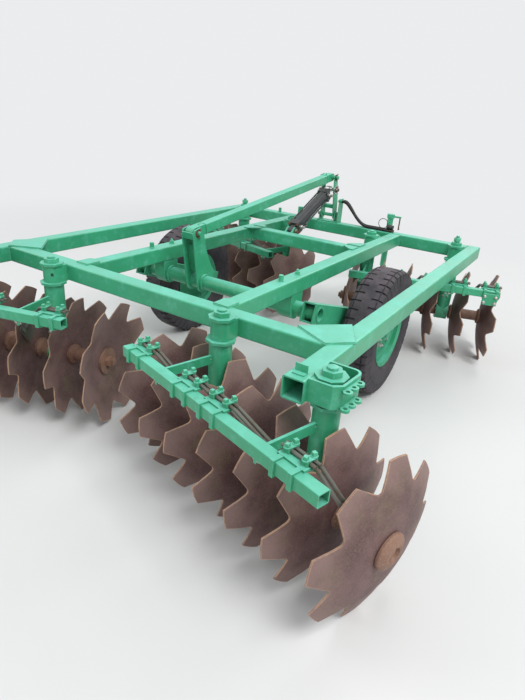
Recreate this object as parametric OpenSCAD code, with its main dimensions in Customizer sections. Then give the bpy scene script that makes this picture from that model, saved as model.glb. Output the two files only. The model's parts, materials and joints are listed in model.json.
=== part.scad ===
// Trailed disc harrow: a welded frame of square tubes that carries two front and
// two rear gangs of notched discs, a lifting axle with two wheels, and a drawbar.
// Millimetres. +X is the right-hand side, +Y the direction of travel, +Z up.
// The origin lies on the floor, in the middle of the machine's length and width.
// Lengths along the machine are counted from the rear face of the rear beam.

/* [Frame] */
// Side of the square frame tubes
tube = 90; // [80:1:100]
// Wall of the frame tubes
tube_wall = 6; // [4:0.5:10]
// Outer corner radius of the frame tubes
tube_round = 10; // [7:1:14]
// Width over the two side beams
frame_w = 2222; // [2190:1:2400]
// Length over the rear and front beams
frame_l = 2465; // [2400:1:2700]
// How far the side beams run past the rear beam
overhang = 324; // [310:1:400]
// Rear face of the cross beam
cross_y = 1634; // [1500:1:1700]
// Thickness of the plates welded over the frame joints
plate_t = 8; // [5:1:12]
// Reach of a joint plate along each beam
plate_reach = 170; // [120:5:200]

/* [Gangs] */
// Radius of a disc at its tooth tips
disc_r = 330; // [300:1:340]
// Thickness of a disc
disc_t = 6; // [4:0.5:8]
// Depth of a disc's bowl
disc_dish = 64; // [50:1:75]
// Teeth around a disc
disc_teeth = 8; // [7:1:10]
// Angle that a tooth's edge spans
tooth_angle = 17; // [14:0.5:20]
// Distance from the gang axis to the bottom of a notch
notch_root = 250; // [240:1:262]
// Radius of a notch's round bottom
notch_round = 18; // [14:1:24]
// Distance from one disc to the next along a gang
disc_pitch = 210; // [200:1:225]
// Discs outboard of the outer post
outer_discs = 2; // [1:1:2]
// Discs on each rear gang
rear_discs = 7; // [5:1:7]
// Discs on each front gang
front_discs = 6; // [5:1:6]
// Disc pitches from the inner post to the outer post
post_pitches = 3; // [3:1:3]
// Angle of each gang to the machine's width
attack = 16.5; // [12:0.5:18]
// Gang axis below the top of the frame
gang_drop = 505; // [480:1:540]
// Side of the square gang shaft
shaft_side = 32; // [25:1:38]
// Radius of a spool's body
spool_r = 38; // [32:1:44]
// Radius of a spool's end flanges
flange_r = 56; // [50:1:64]
// Thickness of a spool's end flange
flange_t = 14; // [8:1:20]
// Radius of the big washers at a gang's ends
end_washer_r = 74; // [60:1:80]
// Thickness of the big end washers
end_washer_t = 12; // [8:1:16]
// Radius of a bearing housing
bearing_r = 62; // [55:1:72]
// Length of a bearing housing
bearing_len = 88; // [70:1:90]

/* [Gang pivots] */
// Rear outer pivot, outboard of the side beam's face
rear_pivot_out = 54; // [54:1:70]
// Front outer pivot, inboard of the side beam's face
front_pivot_out = 58; // [56:1:70]
// Rear inner pivot, behind the rear beam
rear_pivot_back = 56; // [56:1:70]
// Front inner pivot, inboard of the inner beam's face
front_pivot_in = 62; // [58:1:75]
// Front inner pivot, behind the front beam's front face
front_pivot_back = 331; // [322:1:380]
// Radius of the pivot brackets
bracket_r = 48; // [44:1:54]
// Radius of the bore in the pivot brackets
bracket_bore = 31; // [25:0.5:36]
// Clearance of the pivot pin in its bore
pin_gap = 0.3; // [0.2:0.05:0.6]
// Across flats of the octagonal pivot washers
washer_af = 112; // [104:1:120]
// Thickness of the pivot washers
washer_t = 12; // [8:1:16]
// Across flats of the pivot nuts
nut_af = 66; // [64:1:70]
// Height of the pivot nuts
nut_h = 22; // [16:1:36]
// Radius of a gang post's pipe
post_r = 51; // [44:1:54]
// Wall of a gang post's pipe
post_wall = 8; // [5:1:12]
// Across flats of a post's octagonal flange
post_flange_af = 126; // [112:1:136]
// Radius of the holes that set a gang's angle
sector_hole_r = 8; // [6:0.5:10]
// From one of those holes to the next
sector_pitch = 42; // [36:1:44]
// Thickness of the strip and plates round an outer rear pivot
sector_t = 10; // [6:1:12]

/* [Scrapers] */
// Side of the square scraper beams
beam_side = 50; // [40:1:60]
// Wall of the scraper beams
beam_wall = 4; // [3:0.5:6]
// Scraper beam's centre line behind the gang axis
beam_back = 300; // [285:1:340]
// Top of the rear scraper beams below the top of the frame
beam_drop = 155; // [140:1:175]
// Top of the front scraper beams below the top of the frame
front_beam_drop = 210; // [200:1:218]
// Width of the flat bars that carry a scraper beam
arm_h = 40; // [30:1:46]
// Thickness of those flat bars
arm_t = 12; // [8:1:16]
// Gap between a scraper blade and its disc
blade_gap = 6; // [5:0.5:10]
// Width of a scraper blade
blade_w = 70; // [50:1:90]
// Thickness of a scraper blade
blade_t = 6; // [4:0.5:8]

/* [Lift] */
// Lift axle behind the middle of the frame's length
axle_behind = 516.5; // [490:0.5:540]
// Lift axle below the top of the frame
axle_drop = 176; // [165:1:190]
// Radius of the lift axle's tube
axle_r = 44; // [38:1:48]
// Gap between an axle bearing and the wheel arm beside it
arm_gap = 72; // [60:1:84]
// Length of the wheel arms, axle to wheel centre
wheel_arm = 670; // [650:1:690]
// Width of a wheel arm's box
arm_w = 78; // [60:1:80]
// Height of a wheel arm's box
arm_box_h = 112; // [106:1:130]
// Plate of the lever, wheel arms and rocker
box_t = 8; // [6:1:10]
// Length of the lever and of the rocker
lever_len = 318; // [300:1:330]
// How far the lever and rocker lean back
lever_lean = 12; // [8:0.5:16]
// Middle of the lever, to the right of the centre line
lever_x = -198; // [-218:1:-178]
// Middle of the rocker, to the right of the centre line
rocker_x = -160; // [-178:1:-143]
// Width over the lever's plates
lever_w = 92; // [80:1:100]
// Width over the rocker's plates
rocker_w = 118; // [112:1:124]
// Rocker pivot above the top of the frame
rocker_rise = 55; // [50:1:70]
// Rocker pivot behind the front beam's front face
rocker_back = 45; // [40:1:50]
// Radius of the link and cylinder pins
link_pin_r = 14; // [11:0.5:16]
// Side of the link bar's tube
link_side = 60; // [50:1:62]
// Share of the rocker's length at which the cylinder pushes
cyl_share = 0.69; // [0.6:0.01:0.75]
// Cylinder's rear pin ahead of the cross beam
cyl_pin_ahead = 66; // [60:1:80]
// Radius of the cylinder's barrel
barrel_r = 42; // [36:1:44]
// Radius of the piston rod
rod_r = 17; // [14:0.5:20]

/* [Wheels] */
// Radius of a tyre
tyre_r = 410; // [400:1:425]
// Width of a tyre
tyre_w = 208; // [190:1:225]
// Radius of the rim's seat
rim_r = 203; // [190:1:215]
// Middle of a wheel, outboard of the lift axle's end
wheel_out = 130; // [124:1:150]
// Radius of a wheel's hub
hub_r = 58; // [50:1:70]
// Radius of a wheel's spindle
spindle_r = 24; // [20:0.5:28]

/* [Drawbar] */
// Length of the drawbar, hinge to towing eye
drawbar_len = 1500; // [1400:5:1700]
// Height of the towing eye above the floor
eye_h = 430; // [400:5:480]
// Half the distance between the drawbar's hinges
drawbar_half = 430; // [400:1:480]
// Side of the drawbar's square tubes
drawbar_side = 80; // [70:1:90]
// Radius of the hole in the towing eye
eye_r = 20; // [16:0.5:25]
// Radius of the drawbar's hinge pins
hinge_r = 16; // [12:0.5:20]

/* [Hidden] */
$fn = 64;

paint = "mediumaquamarine";
shade = "mediumseagreen";
rust = "rosybrown";

// A fit that turns has this much play all round, and pieces that only meet have seat.
run_fit = 0.05;
seat = 0.3;

// Heights above the floor
axis_h = disc_r;
frame_top = axis_h + gang_drop;
frame_bottom = frame_top - tube;

// Gangs. Each disc is put on its shaft with its teeth turned by one of these
disc_turns = [36, 4, 10, 17, 38, 0, 22];
post_gap = post_pitches * disc_pitch;
disc_window = (disc_pitch - disc_dish) / 2;
bowl_r = (disc_r * disc_r + disc_dish * disc_dish) / (2 * disc_dish);
function sag(r, sphere_r) = sphere_r - sqrt(sphere_r * sphere_r - r * r);
// The bowl is made of conical steps, and this is its depth between two of them
bowl_steps = 6;
step_w = disc_r / bowl_steps;
function step_sag(r, sphere_r) = let (k = floor(r / step_w), low = sag(k * step_w, sphere_r))
    low + (sag((k + 1) * step_w, sphere_r) - low) * (r / step_w - k);
// Rear gangs bulge outboard and front gangs bulge inboard
function discs_of(front) = front ? front_discs : rear_discs;
function apex(front, n) = post_gap + (outer_discs - n) * disc_pitch - disc_window - (front ? disc_dish : 0);
front_outer_x = frame_w / 2 - tube - front_pivot_out;
front_pivot_x = front_outer_x - post_gap * cos(attack);
front_pivot_y = frame_l - front_pivot_back;
front_outer_y = front_pivot_y + post_gap * sin(attack);
rear_outer_x = frame_w / 2 + rear_pivot_out;
rear_pivot_x = rear_outer_x - post_gap * cos(attack);
rear_outer_y = -rear_pivot_back - post_gap * sin(attack);

// The inner beams lie beside the front inner pivots
inner_x = front_pivot_x + front_pivot_in + tube / 2;

// The lift axle's bearings hang under them, and its wheel arms stand outside the bearings
axle_y = frame_l / 2 - axle_behind;
bearing_half = 40;
arm_inset = 4;
axle_half = round(inner_x + bearing_half + arm_gap + arm_w + arm_inset);
wheel_x = axle_half + wheel_out;

// The machine's middle: rearmost tooth to the front of the towing eye
eye_out_r = eye_r + 28;
hinge_y = frame_l + 62;
hinge_z = frame_bottom + 14;
eye_y = hinge_y + sqrt(drawbar_len * drawbar_len - pow(hinge_z - eye_h, 2));
rear_disc_s = apex(false, 0) - disc_dish;
machine_rear = -rear_pivot_back - rear_disc_s * sin(attack) - disc_r * cos(attack);
machine_front = eye_y + eye_out_r;
mid_y = (machine_rear + machine_front) / 2;

// Lift linkage, in side view as [y, z]
axle_z = frame_top - axle_drop;
lever_vec = [-sin(lever_lean), cos(lever_lean)] * lever_len;
lever_pin = [axle_y, axle_z] + lever_vec;
rocker_pivot = [frame_l - rocker_back, frame_top + rocker_rise];
rocker_pin = rocker_pivot + lever_vec;
cyl_front = rocker_pivot + lever_vec * cyl_share;
cyl_rear = [cross_y + tube + cyl_pin_ahead, frame_top];
cyl_len = norm(cyl_front - cyl_rear);
cyl_angle = atan2(cyl_front.y - cyl_rear.y, cyl_front.x - cyl_rear.x);
link_vec = rocker_pin - lever_pin;
link_len = norm(link_vec);
link_angle = atan2(link_vec.y, link_vec.x);
link_skew = atan2(lever_x - rocker_x, link_len);
arm_angle = asin((axle_z - tyre_r) / wheel_arm);
wheel_y = axle_y + wheel_arm * cos(arm_angle);

// Wheel: half widths of the rim between its flanges and of the hub
rim_half = 74;
hub_half = 66;

// Link bar: running length, solid ends, eye width, play at the open eye
link_run = link_len / cos(link_skew);
link_end = 95;
link_eye_w = 56;
link_play = 0.5;

// Cylinder: clevis gap, eye width, square end caps, front end of the barrel
cyl_clevis = 44;
cyl_eye_w = 38;
cyl_eye_r = 26;
cap_side = 88;
cap_len = 52;
cap_start = 38;
barrel_end = cyl_len - 72;
rod_room = 260;
rod_eye_play = 10;

// Drawbar
lug_gap = 84;
lug_t = 12;
lug_r = 34;
drawbar_wall = 5;
drawbar_angle = asin((hinge_z - eye_h) / drawbar_len);
head_len = 300;
head_half = 75;
leg_end_y = drawbar_len - head_len;
leg_angle = atan2(drawbar_half - head_half, leg_end_y);
eye_t = 32;

// Jack, between the legs
jack_along = leg_end_y - 95;
jack_y = hinge_y + jack_along * cos(drawbar_angle);
jack_z = hinge_z - jack_along * sin(drawbar_angle);
jack_r = 30;
jack_leg_r = 24;
jack_low = 245;
jack_top = jack_z + 230;

// Hoses, each a list of [across, ahead of the front beam's front face, above the frame's top]
hose_r = 11;
hose_a = [[-42, -63, 178], [-18, -63, 178], [12, -63, 164], [47, -63, 131], [82, -63, 94], [117, -63, 59],
    [152, -63, 32], [187, -63, 16], [222, -63, 11.3], [262, -63, 11.3], [302, -63, 11.3], [338, -63, 11.3]];
hose_b = [[-42, -27, 178], [-20, -27, 178], [8, -27, 161], [42, -27, 124], [74, -27, 86], [110, -27, 51],
    [146, -27, 26], [182, -27, 13.5], [218, -27, 11.3], [258, -27, 11.3], [298, -27, 11.3], [328, -27, 11.3]];

// Everything is drawn from the rear beam and then moved to the middle
module machine() translate([0, -mid_y, 0]) children();
module sided(side) mirror([side < 0 ? 1 : 0, 0, 0]) children();
module both_sides() for (side = [1, -1]) sided(side) children();

// A gang's own frame: x outboard along its axis from the inner post, y ahead, z up
module gang(front, side)
    machine() sided(side)
        translate([front ? front_pivot_x : rear_pivot_x, front ? front_pivot_y : -rear_pivot_back, axis_h])
            rotate([0, 0, front ? attack : -attack]) children();

module box(from, to) translate(from) cube(to - from);

// Square with round corners, and the hollow section made of it
module round_square(side, r) {
    square([side - 2 * r, side], center = true);
    square([side, side - 2 * r], center = true);
    for (x = [-1, 1], y = [-1, 1])
        translate([x, y] * (side / 2 - r)) circle(r);
}
module tube_section(side, wall, r)
    difference() {
        round_square(side, r);
        round_square(side - 2 * wall, max(r - wall, 1));
    }

// A hollow beam along +X, centred, from x0 to x1
module beam(x0, x1, side = tube, wall = tube_wall, r = tube_round)
    translate([x0, 0, 0]) rotate([90, 0, 90])
        linear_extrude(x1 - x0) tube_section(side, wall, r);

// A straight bar between two points, with this many sides
module bar(from, to, r, sides) {
    v = to - from;
    translate(from)
        rotate([0, acos(v.z / norm(v)), atan2(v.y, v.x)]) rotate(180 / sides)
            cylinder(r = r, h = norm(v), $fn = sides);
}

// A cylinder along +X that starts at x0
module x_cyl(x0, x1, r) translate([x0, 0, 0]) rotate([0, 90, 0]) cylinder(r = r, h = x1 - x0);

// Octagon and hexagon across flats, flat on z = 0
module octagon(af, h) rotate(22.5) cylinder(d = af / cos(22.5), h = h, $fn = 8);
module hexagon(af, h) cylinder(d = af / cos(30), h = h, $fn = 6);

// Frame

module rear_beam()
    color(paint) machine() translate([0, tube / 2, frame_top - tube / 2])
        beam(-frame_w / 2 + tube, frame_w / 2 - tube);

lug_from_end = 50;
module side_beam(side)
    color(paint) machine() sided(side)
        translate([(frame_w - tube) / 2, 0, frame_top - tube / 2]) rotate([0, 0, 90]) {
            beam(-overhang, frame_l - tube_wall);
            translate([frame_l - tube_wall, 0, 0]) rotate([90, 0, 90])
                linear_extrude(tube_wall) round_square(tube, tube_round);
            // angle lug on the open rear end
            translate([lug_from_end - overhang, 0, tube / 2]) {
                box([0, -24, -1], [6, 24, 34]);
                box([-22, -24, -1], [1, 24, 5]);
            }
        }

module inner_beam(side)
    color(paint) machine() sided(side)
        translate([inner_x, 0, frame_top - tube / 2]) rotate([0, 0, 90])
            beam(tube, frame_l - tube);

module cross_beam()
    color(paint) machine() translate([0, cross_y + tube / 2, frame_top - tube / 2])
        beam(-inner_x + tube / 2, inner_x - tube / 2);

// Stub posts that stand on the front beam: [across, radius, height]
front_stubs = [[-428, 23, 80], [-638, 13, 40]];
module front_beam()
    color(paint) machine() translate([0, frame_l - tube / 2, frame_top - tube / 2]) {
        beam(-frame_w / 2 + tube, frame_w / 2 - tube);
        for (p = front_stubs) translate([p[0], -15, tube / 2 - 1]) cylinder(r = p[1], h = p[2] + 1);
    }

// One plate over an inner corner: x and y run along the two beams from the corner
module corner_plate()
    linear_extrude(plate_t)
        polygon([[plate_reach, 0], [0, plate_reach], [-tube, 0], [0, -tube]]);

gusset = 70;
module joint_plates()
    color(paint) machine() both_sides() translate([0, 0, frame_top]) {
        translate([frame_w / 2 - tube, tube, 0]) mirror([1, 0, 0]) corner_plate();
        translate([inner_x, tube, 0]) linear_extrude(plate_t)
            polygon([[-tube / 2 + 4, -tube / 3], [tube / 2 - 4, -tube / 3], [tube / 2 - 4, tube * 0.6],
                    [tube / 4, tube * 0.75], [-tube / 4, tube * 0.75], [-tube / 2 + 4, tube * 0.6]]);
        for (end = [0, 1])
            translate([inner_x - tube / 2, cross_y + end * tube, 0]) mirror([0, 1 - end, 0]) linear_extrude(plate_t)
                polygon([[-gusset, -tube / 3], [-gusset, 0], [0, gusset], [tube / 3, gusset], [tube / 3, -tube / 3]]);
    }

// Bearings of the lift axle, hung under the inner beams
module axle_bearings()
    color(shade) machine() both_sides()
        translate([inner_x, axle_y, axle_z]) difference() {
            union() {
                x_cyl(-bearing_half, bearing_half, axle_r + 18);
                box([-bearing_half, -axle_r - 18, 0], [bearing_half, axle_r + 18, axle_drop - tube]);
            }
            x_cyl(-bearing_half - 1, bearing_half + 1, axle_r + run_fit);
        }

// Gang pivots

// A bracket is a round boss with straight sides that run to the beam it is welded to
module bracket(reach)
    difference() {
        union() {
            cylinder(r = bracket_r, h = tube);
            box([0, -bracket_r, 0], [reach, bracket_r, tube]);
        }
        translate([0, 0, -1]) cylinder(r = bracket_bore, h = tube + 2);
    }

// Round each outer rear pivot a bent strip runs from the side beam and back to it, with
// two scalloped plates on its outer side. Their holes set the gang's angle.
sector_top = -5;
sector_bottom = -tube + 10;
strip_in = washer_af / 2 + 2;
bend_y = 72;
bend_x = strip_in - 16;
bend_r = 34;
rear_y = -72;
chamfer_x = 28;
// The strip's outer side, or with an inset its inner side. x is outboard and y ahead of the pivot
module strip_side(inset, start) {
    out = bend_x + bend_r - inset;
    polygon([[start, rear_y + inset], [strip_in + sector_t - inset - chamfer_x, rear_y + inset],
        [strip_in + sector_t - inset, rear_y + chamfer_x + inset / 2], [out, bend_y],
        [bend_x, bend_y + bend_r - inset], [start, bend_y + bend_r - inset]]);
    translate([bend_x, bend_y]) circle(bend_r - inset);
}
module sector_plate() {
    row = strip_in + sector_t + 14;
    lobe = sector_hole_r + 9;
    difference() {
        union() {
            polygon([[strip_in + 1, rear_y + 34], [row - 6, -sector_pitch - 3 - lobe + 1], [row, -sector_pitch - 3],
                [row + 7, sector_pitch - 3], [row - 4, sector_pitch + 14], [bend_x + bend_r - 4, bend_y],
                [strip_in + sector_t - 4, sector_pitch]]);
            for (k = [-1 : 1]) translate([row + 3.5 * (k + 1), k * sector_pitch - 3]) circle(lobe);
        }
        for (k = [-1 : 1]) translate([row + 3.5 * (k + 1), k * sector_pitch - 3]) circle(sector_hole_r);
    }
}
module sector_bracket() {
    beam_x = frame_w / 2 - rear_outer_x;
    translate([0, 0, sector_bottom]) linear_extrude(8 - sector_bottom) difference() {
        strip_side(0, beam_x);
        strip_side(sector_t, beam_x - 1);
    }
    for (z = [sector_top, sector_bottom + sector_t])
        translate([0, 0, z - sector_t]) linear_extrude(sector_t) sector_plate();
    translate([0, 0, sector_bottom]) linear_extrude(sector_t) difference() {
        strip_side(sector_t / 2, beam_x);
        circle(bracket_bore + 4);
    }
}

// Square hole in a boss wall, for the grease fitting
module grease_hole()
    translate([0, 0, tube / 2]) rotate([0, 0, 130]) translate([bracket_bore - 6, -7, -9])
        cube([bracket_r - bracket_bore + 12, 14, 18]);

module pivot_brackets()
    color(paint) machine() both_sides() {
        translate([rear_outer_x, rear_outer_y, frame_top]) sector_bracket();
        translate([rear_pivot_x, -rear_pivot_back, frame_bottom]) rotate(90) difference() {
            bracket(rear_pivot_back);
            grease_hole();
        }
        translate([rear_outer_x, rear_outer_y, frame_bottom]) rotate(180) bracket(rear_outer_x - frame_w / 2);
        translate([front_pivot_x, front_pivot_y, frame_bottom]) bracket(front_pivot_in);
        translate([front_outer_x, front_outer_y, frame_bottom]) bracket(frame_w / 2 - tube - front_outer_x);
    }

// Places its children at each of the four pivots on the right, then on the left
module at_pivots(front)
    machine() both_sides() {
        translate([front ? front_pivot_x : rear_pivot_x, front ? front_pivot_y : -rear_pivot_back, 0]) children();
        translate([front ? front_outer_x : rear_outer_x, front ? front_outer_y : rear_outer_y, 0]) children();
    }

stud_r = 20;
stud_rise = 9;
module pivot_caps()
    color(paint) for (front = [false, true]) at_pivots(front) translate([0, 0, frame_top]) {
        difference() {
            octagon(washer_af, washer_t);
            translate([0, 0, -1]) cylinder(r = bracket_bore, h = washer_t + 2);
        }
        translate([0, 0, washer_t]) hexagon(nut_af, nut_h);
        translate([0, 0, washer_t]) cylinder(r = stud_r, h = nut_h + stud_rise);
    }

// A post turns the gang's pull into the frame: pin, flange, pipe and bearing
module post() {
    pin_r = bracket_bore - pin_gap;
    pipe_top = frame_bottom - washer_t;
    translate([0, 0, pipe_top]) cylinder(r = pin_r, h = tube + 2 * washer_t);
    translate([0, 0, pipe_top]) octagon(post_flange_af, washer_t);
    translate([0, 0, axis_h]) difference() {
        cylinder(r = post_r, h = pipe_top - axis_h);
        translate([0, 0, -1]) cylinder(r = post_r - post_wall, h = pipe_top - axis_h - washer_t);
        rotate([0, 90, 0]) cylinder(r = bearing_r - 1, h = 4 * post_r, center = true);
    }
}

module bearing()
    difference() {
        x_cyl(-bearing_len / 2, bearing_len / 2, bearing_r);
        x_cyl(-bearing_len, bearing_len, spool_r + run_fit);
    }

module posts(front) {
    color(paint) for (side = [1, -1], s = [0, post_gap])
        gang(front, side) translate([s, 0, 0]) {
            translate([0, 0, -axis_h]) post();
            bearing();
        }
}
module rear_posts() posts(false);
module front_posts() posts(true);

// Scraper beams: [inner end, outer end] along the gang
rear_beam_ends = [-270, 905];
front_beam_ends = [-100, 960];
function beam_z(front) = gang_drop - (front ? front_beam_drop : beam_drop) - beam_side / 2;

module scraper_beams(front) {
    z = beam_z(front);
    ends = front ? front_beam_ends : rear_beam_ends;
    color(paint) for (side = [1, -1]) gang(front, side) {
        translate([0, -beam_back, z]) beam(ends[0], ends[1], beam_side, beam_wall, 5);
        for (s = [0, post_gap]) difference() {
            box([s - arm_t / 2, -beam_back + beam_side / 2, z - arm_h / 2],
                [s + arm_t / 2, 0, z + arm_h / 2]);
            translate([s, 0, 0]) cylinder(r = post_r + seat, h = gang_drop);
        }
        for (s = [0, post_gap])
            box([s - arm_h / 2, -beam_back - beam_side / 4, z - beam_side / 2 - arm_t - 14],
                [s - arm_h / 2 + arm_t, -beam_back + beam_side / 4, z - beam_side / 2]);
    }
}
module rear_scraper_beams() scraper_beams(false);
module front_scraper_beams() scraper_beams(true);

// Scrapers: [place of the clamp along the gang, number of the disc it cleans]
rear_scraper_list = [[-180, 4], [175, 2], [355, 1], [752, 0]];
front_scraper_list = [[899, 1], [686, 2], [490, 3], [235, 5]];

// The blade lies in the bowl of its disc, between these radii
blade_in = 130;
blade_out = 285;
blade_angle = 40;

// Radius of the rods, half the distance between two of them, and where they meet the blade
rod_half = 7;
rod_apart = 11;
rod_end = blade_out - 30;

// The holder bar lies along the beam's front top edge and carries the rods ahead of the beam
holder_half = 60;
holder_w = 64;
holder_t = 8;
strap_w = 18;
strap_t = 7;
strap_gap = 40;
bend_out = 12;
holder_y = -beam_back + beam_side / 2 + 49;
rod_y = holder_y - rod_apart - rod_half - 3;

module scraper_holder(clamp, holder_z) {
    box([clamp - holder_half, holder_y - holder_w, holder_z], [clamp + holder_half, holder_y, holder_z + holder_t]);
    for (dx = [-strap_gap, strap_gap]) {
        // strap round the beam
        difference() {
            box([clamp + dx - strap_w / 2, -beam_back - beam_side / 2 - strap_t, holder_z - beam_side - strap_t],
                [clamp + dx + strap_w / 2, -beam_back + beam_side / 2 + strap_t, holder_z + strap_t]);
            box([clamp + dx - strap_w, -beam_back - beam_side / 2, holder_z - beam_side],
                [clamp + dx + strap_w, -beam_back + beam_side / 2, holder_z]);
        }
        // clip over the rods
        difference() {
            box([clamp + dx - 12, rod_y - rod_apart - rod_half - 8, holder_z + 1],
                [clamp + dx + 12, holder_y, holder_z + holder_t + 2 * rod_half + 5]);
            box([clamp + dx - 13, rod_y - rod_apart - rod_half - seat, holder_z],
                [clamp + dx + 13, rod_y + rod_apart + rod_half - 0.2, holder_z + holder_t + 2 * rod_half + 2 * seat]);
        }
    }
}

// Two rods run under the clips to the holder's end and then down to the blade
module scraper_rods(clamp, tip, holder_z) {
    away = tip.x > clamp ? 1 : -1;
    for (k = [-1, 1]) {
        z_rod = holder_z + holder_t + rod_half + seat;
        bend = [clamp + away * (holder_half + bend_out), rod_y + k * (rod_apart - 0.6), z_rod];
        bar([clamp - away * (holder_half + 14), bend.y, z_rod], bend + [away * rod_half / 2, 0, 0], rod_half, 8);
        bar(bend, tip + [0, k * rod_apart, 0], rod_half, 8);
    }
}

module scrapers(front)
    color(shade) for (side = [1, -1]) gang(front, side)
        for (row = front ? front_scraper_list : rear_scraper_list) scraper_holder(row[0], beam_z(front) + beam_side / 2);

// A blade and the lug on its back that takes the rods
lug_half = 24;
lug_depth = 18;
module scraper_blades(front) {
    dir = front ? -1 : 1;
    slope = atan2(sag(blade_out, bowl_r - disc_t) - sag(blade_in, bowl_r - disc_t), blade_out - blade_in);
    lean = -dir * slope;
    lug_at = [-dir * (blade_t + lug_depth / 2), rod_end - blade_out];
    color("dimgray") for (side = [1, -1]) gang(front, side)
        for (row = front ? front_scraper_list : rear_scraper_list) {
            face = apex(front, row[1]) - dir * (disc_t + blade_gap);
            x_out = face - dir * sag(blade_out, bowl_r - disc_t);
            along = lug_at.y * cos(lean) - lug_at.x * sin(lean);
            scraper_rods(row[0], [x_out + lug_at.x * cos(lean) + lug_at.y * sin(lean),
                -(blade_out + along) * sin(blade_angle), (blade_out + along) * cos(blade_angle)],
                beam_z(front) + beam_side / 2);
            translate([x_out, -blade_out * sin(blade_angle), blade_out * cos(blade_angle)])
                rotate([blade_angle, 0, 0]) rotate([0, lean, 0]) mirror([front ? 1 : 0, 0, 0]) {
                    box([-blade_t, -blade_w / 2, blade_in - blade_out], [0, blade_w / 2, 0]);
                    box([-blade_t - lug_depth, -lug_half, lug_at.y - 14], [-blade_t + 1, lug_half, lug_at.y + 14]);
                }
        }
}
module rear_scraper_rods() scraper_blades(false);
module front_scraper_rods() scraper_blades(true);
module rear_scrapers() scrapers(false);
module front_scrapers() scrapers(true);

// Discs

// A notch in plan, open to the rim: straight sides that run into a round bottom
module notch() {
    half = (360 / disc_teeth - tooth_angle) / 2;
    rim = disc_r * [cos(half), sin(half)];
    mid = [notch_root + notch_round, 0];
    v = mid - rim;
    run = sqrt(v * v - notch_round * notch_round);
    aim = atan2(v.y, v.x) - asin(notch_round / norm(v));
    dir = [cos(aim), sin(aim)];
    touch = rim + run * dir;
    far = rim - 20 * dir;
    translate(mid) circle(notch_round);
    polygon([far, touch, [touch.x, -touch.y], [far.x, -far.y]]);
}

// Half section of a disc, apex at the origin and bulge towards +Y, in short conical steps
module bowl_section()
    polygon([
        for (k = [0 : bowl_steps]) [k * step_w, -sag(k * step_w, bowl_r)],
        for (k = [bowl_steps : -1 : 0]) [k * step_w, -disc_t - sag(k * step_w, bowl_r - disc_t)]
    ]);

// A disc with its bulge towards +X and its apex at the origin
module disc(turn)
    rotate([0, 90, 0]) difference() {
        rotate_extrude($fn = 96) bowl_section();
        translate([0, 0, -disc_dish - 3 * disc_t]) linear_extrude(disc_dish + 4 * disc_t) {
            for (k = [0 : disc_teeth - 1]) rotate(turn + (k + 0.5) * 360 / disc_teeth) notch();
            square(shaft_side + 2 * seat, center = true);
        }
    }

module discs(front, side)
    color(rust) gang(front, side)
        for (n = [0 : discs_of(front) - 1])
            translate([apex(front, n), 0, 0]) mirror([front ? 1 : 0, 0, 0]) disc(disc_turns[n]);

flange_taper = 10;

// A spool from the apex side at x = 0 to the bowl side of the next disc at x = len
module spool(len)
    rotate([0, 90, 0]) difference() {
        rotate_extrude() polygon([[0, 0], [flange_r, 0], [flange_r, flange_t], [spool_r, flange_t + flange_taper],
            [spool_r, len - flange_t - flange_taper], [flange_r, len - flange_t], [flange_r, len], [0, len]]);
        translate([0, 0, -1]) linear_extrude(len + 2) square(shaft_side + 2 * seat, center = true);
    }

module spools(front, side) {
    dir = front ? -1 : 1;
    count = discs_of(front);
    spool_len = disc_pitch - disc_t - step_sag(flange_r, bowl_r - disc_t) - 2 * seat;
    in_bowl = disc_t + step_sag(end_washer_r, bowl_r - disc_t);
    outer = apex(front, 0) + (front ? in_bowl : 0);
    inner = apex(front, count - 1) - (front ? 0 : in_bowl);
    color(rust) gang(front, side) {
        box([inner - end_washer_t - 40, -shaft_side / 2, -shaft_side / 2],
            [outer + end_dome - 8, shaft_side / 2, shaft_side / 2]);
        for (n = [1 : count - 1])
            translate([apex(front, front ? n - 1 : n) + dir * seat, 0, 0]) mirror([front ? 1 : 0, 0, 0]) spool(spool_len);
        translate([outer + seat, 0, 0]) rotate([0, 90, 0]) end_cap();
        translate([inner - seat, 0, 0]) rotate([0, -90, 0]) end_nut();
    }
}

// Domed cap with a recess in its middle, where the square shaft shows
end_dome = 26;
module end_cap() difference() {
    rotate_extrude() polygon([[0, 0], [end_washer_r, 0], [end_washer_r, end_washer_t - 3], [end_washer_r - 4, end_washer_t + 2],
        [end_washer_r * 0.72, end_dome - 4], [end_washer_r * 0.55, end_dome], [30, end_dome], [26, end_dome - 12], [0, end_dome - 12]]);
    translate([0, 0, -1]) linear_extrude(2 * end_dome) square(shaft_side + 2 * seat, center = true);
}

// Washer and nut at a gang's inner end
module end_nut() difference() {
    union() {
        cylinder(r = end_washer_r, h = end_washer_t);
        translate([0, 0, end_washer_t]) hexagon(60, 24);
    }
    translate([0, 0, -1]) linear_extrude(60) square(shaft_side + 2 * seat, center = true);
}

// Lift axle, lever and wheel arms

module axle_tube()
    color(paint) machine() translate([0, axle_y, axle_z]) difference() {
        union() {
            x_cyl(-axle_half, axle_half, axle_r);
            for (x = [-1, 1]) translate([lever_x + x * (lever_w / 2 + 9 + seat), 0, 0]) x_cyl(-8, 8, axle_r + 9);
            for (x = [-1, 1]) translate([x * (inner_x - bearing_half - 12), 0, 0]) x_cyl(-8, 8, axle_r + 9);
        }
        x_cyl(-axle_half - 1, axle_half + 1, axle_r - 8);
    }

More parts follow.
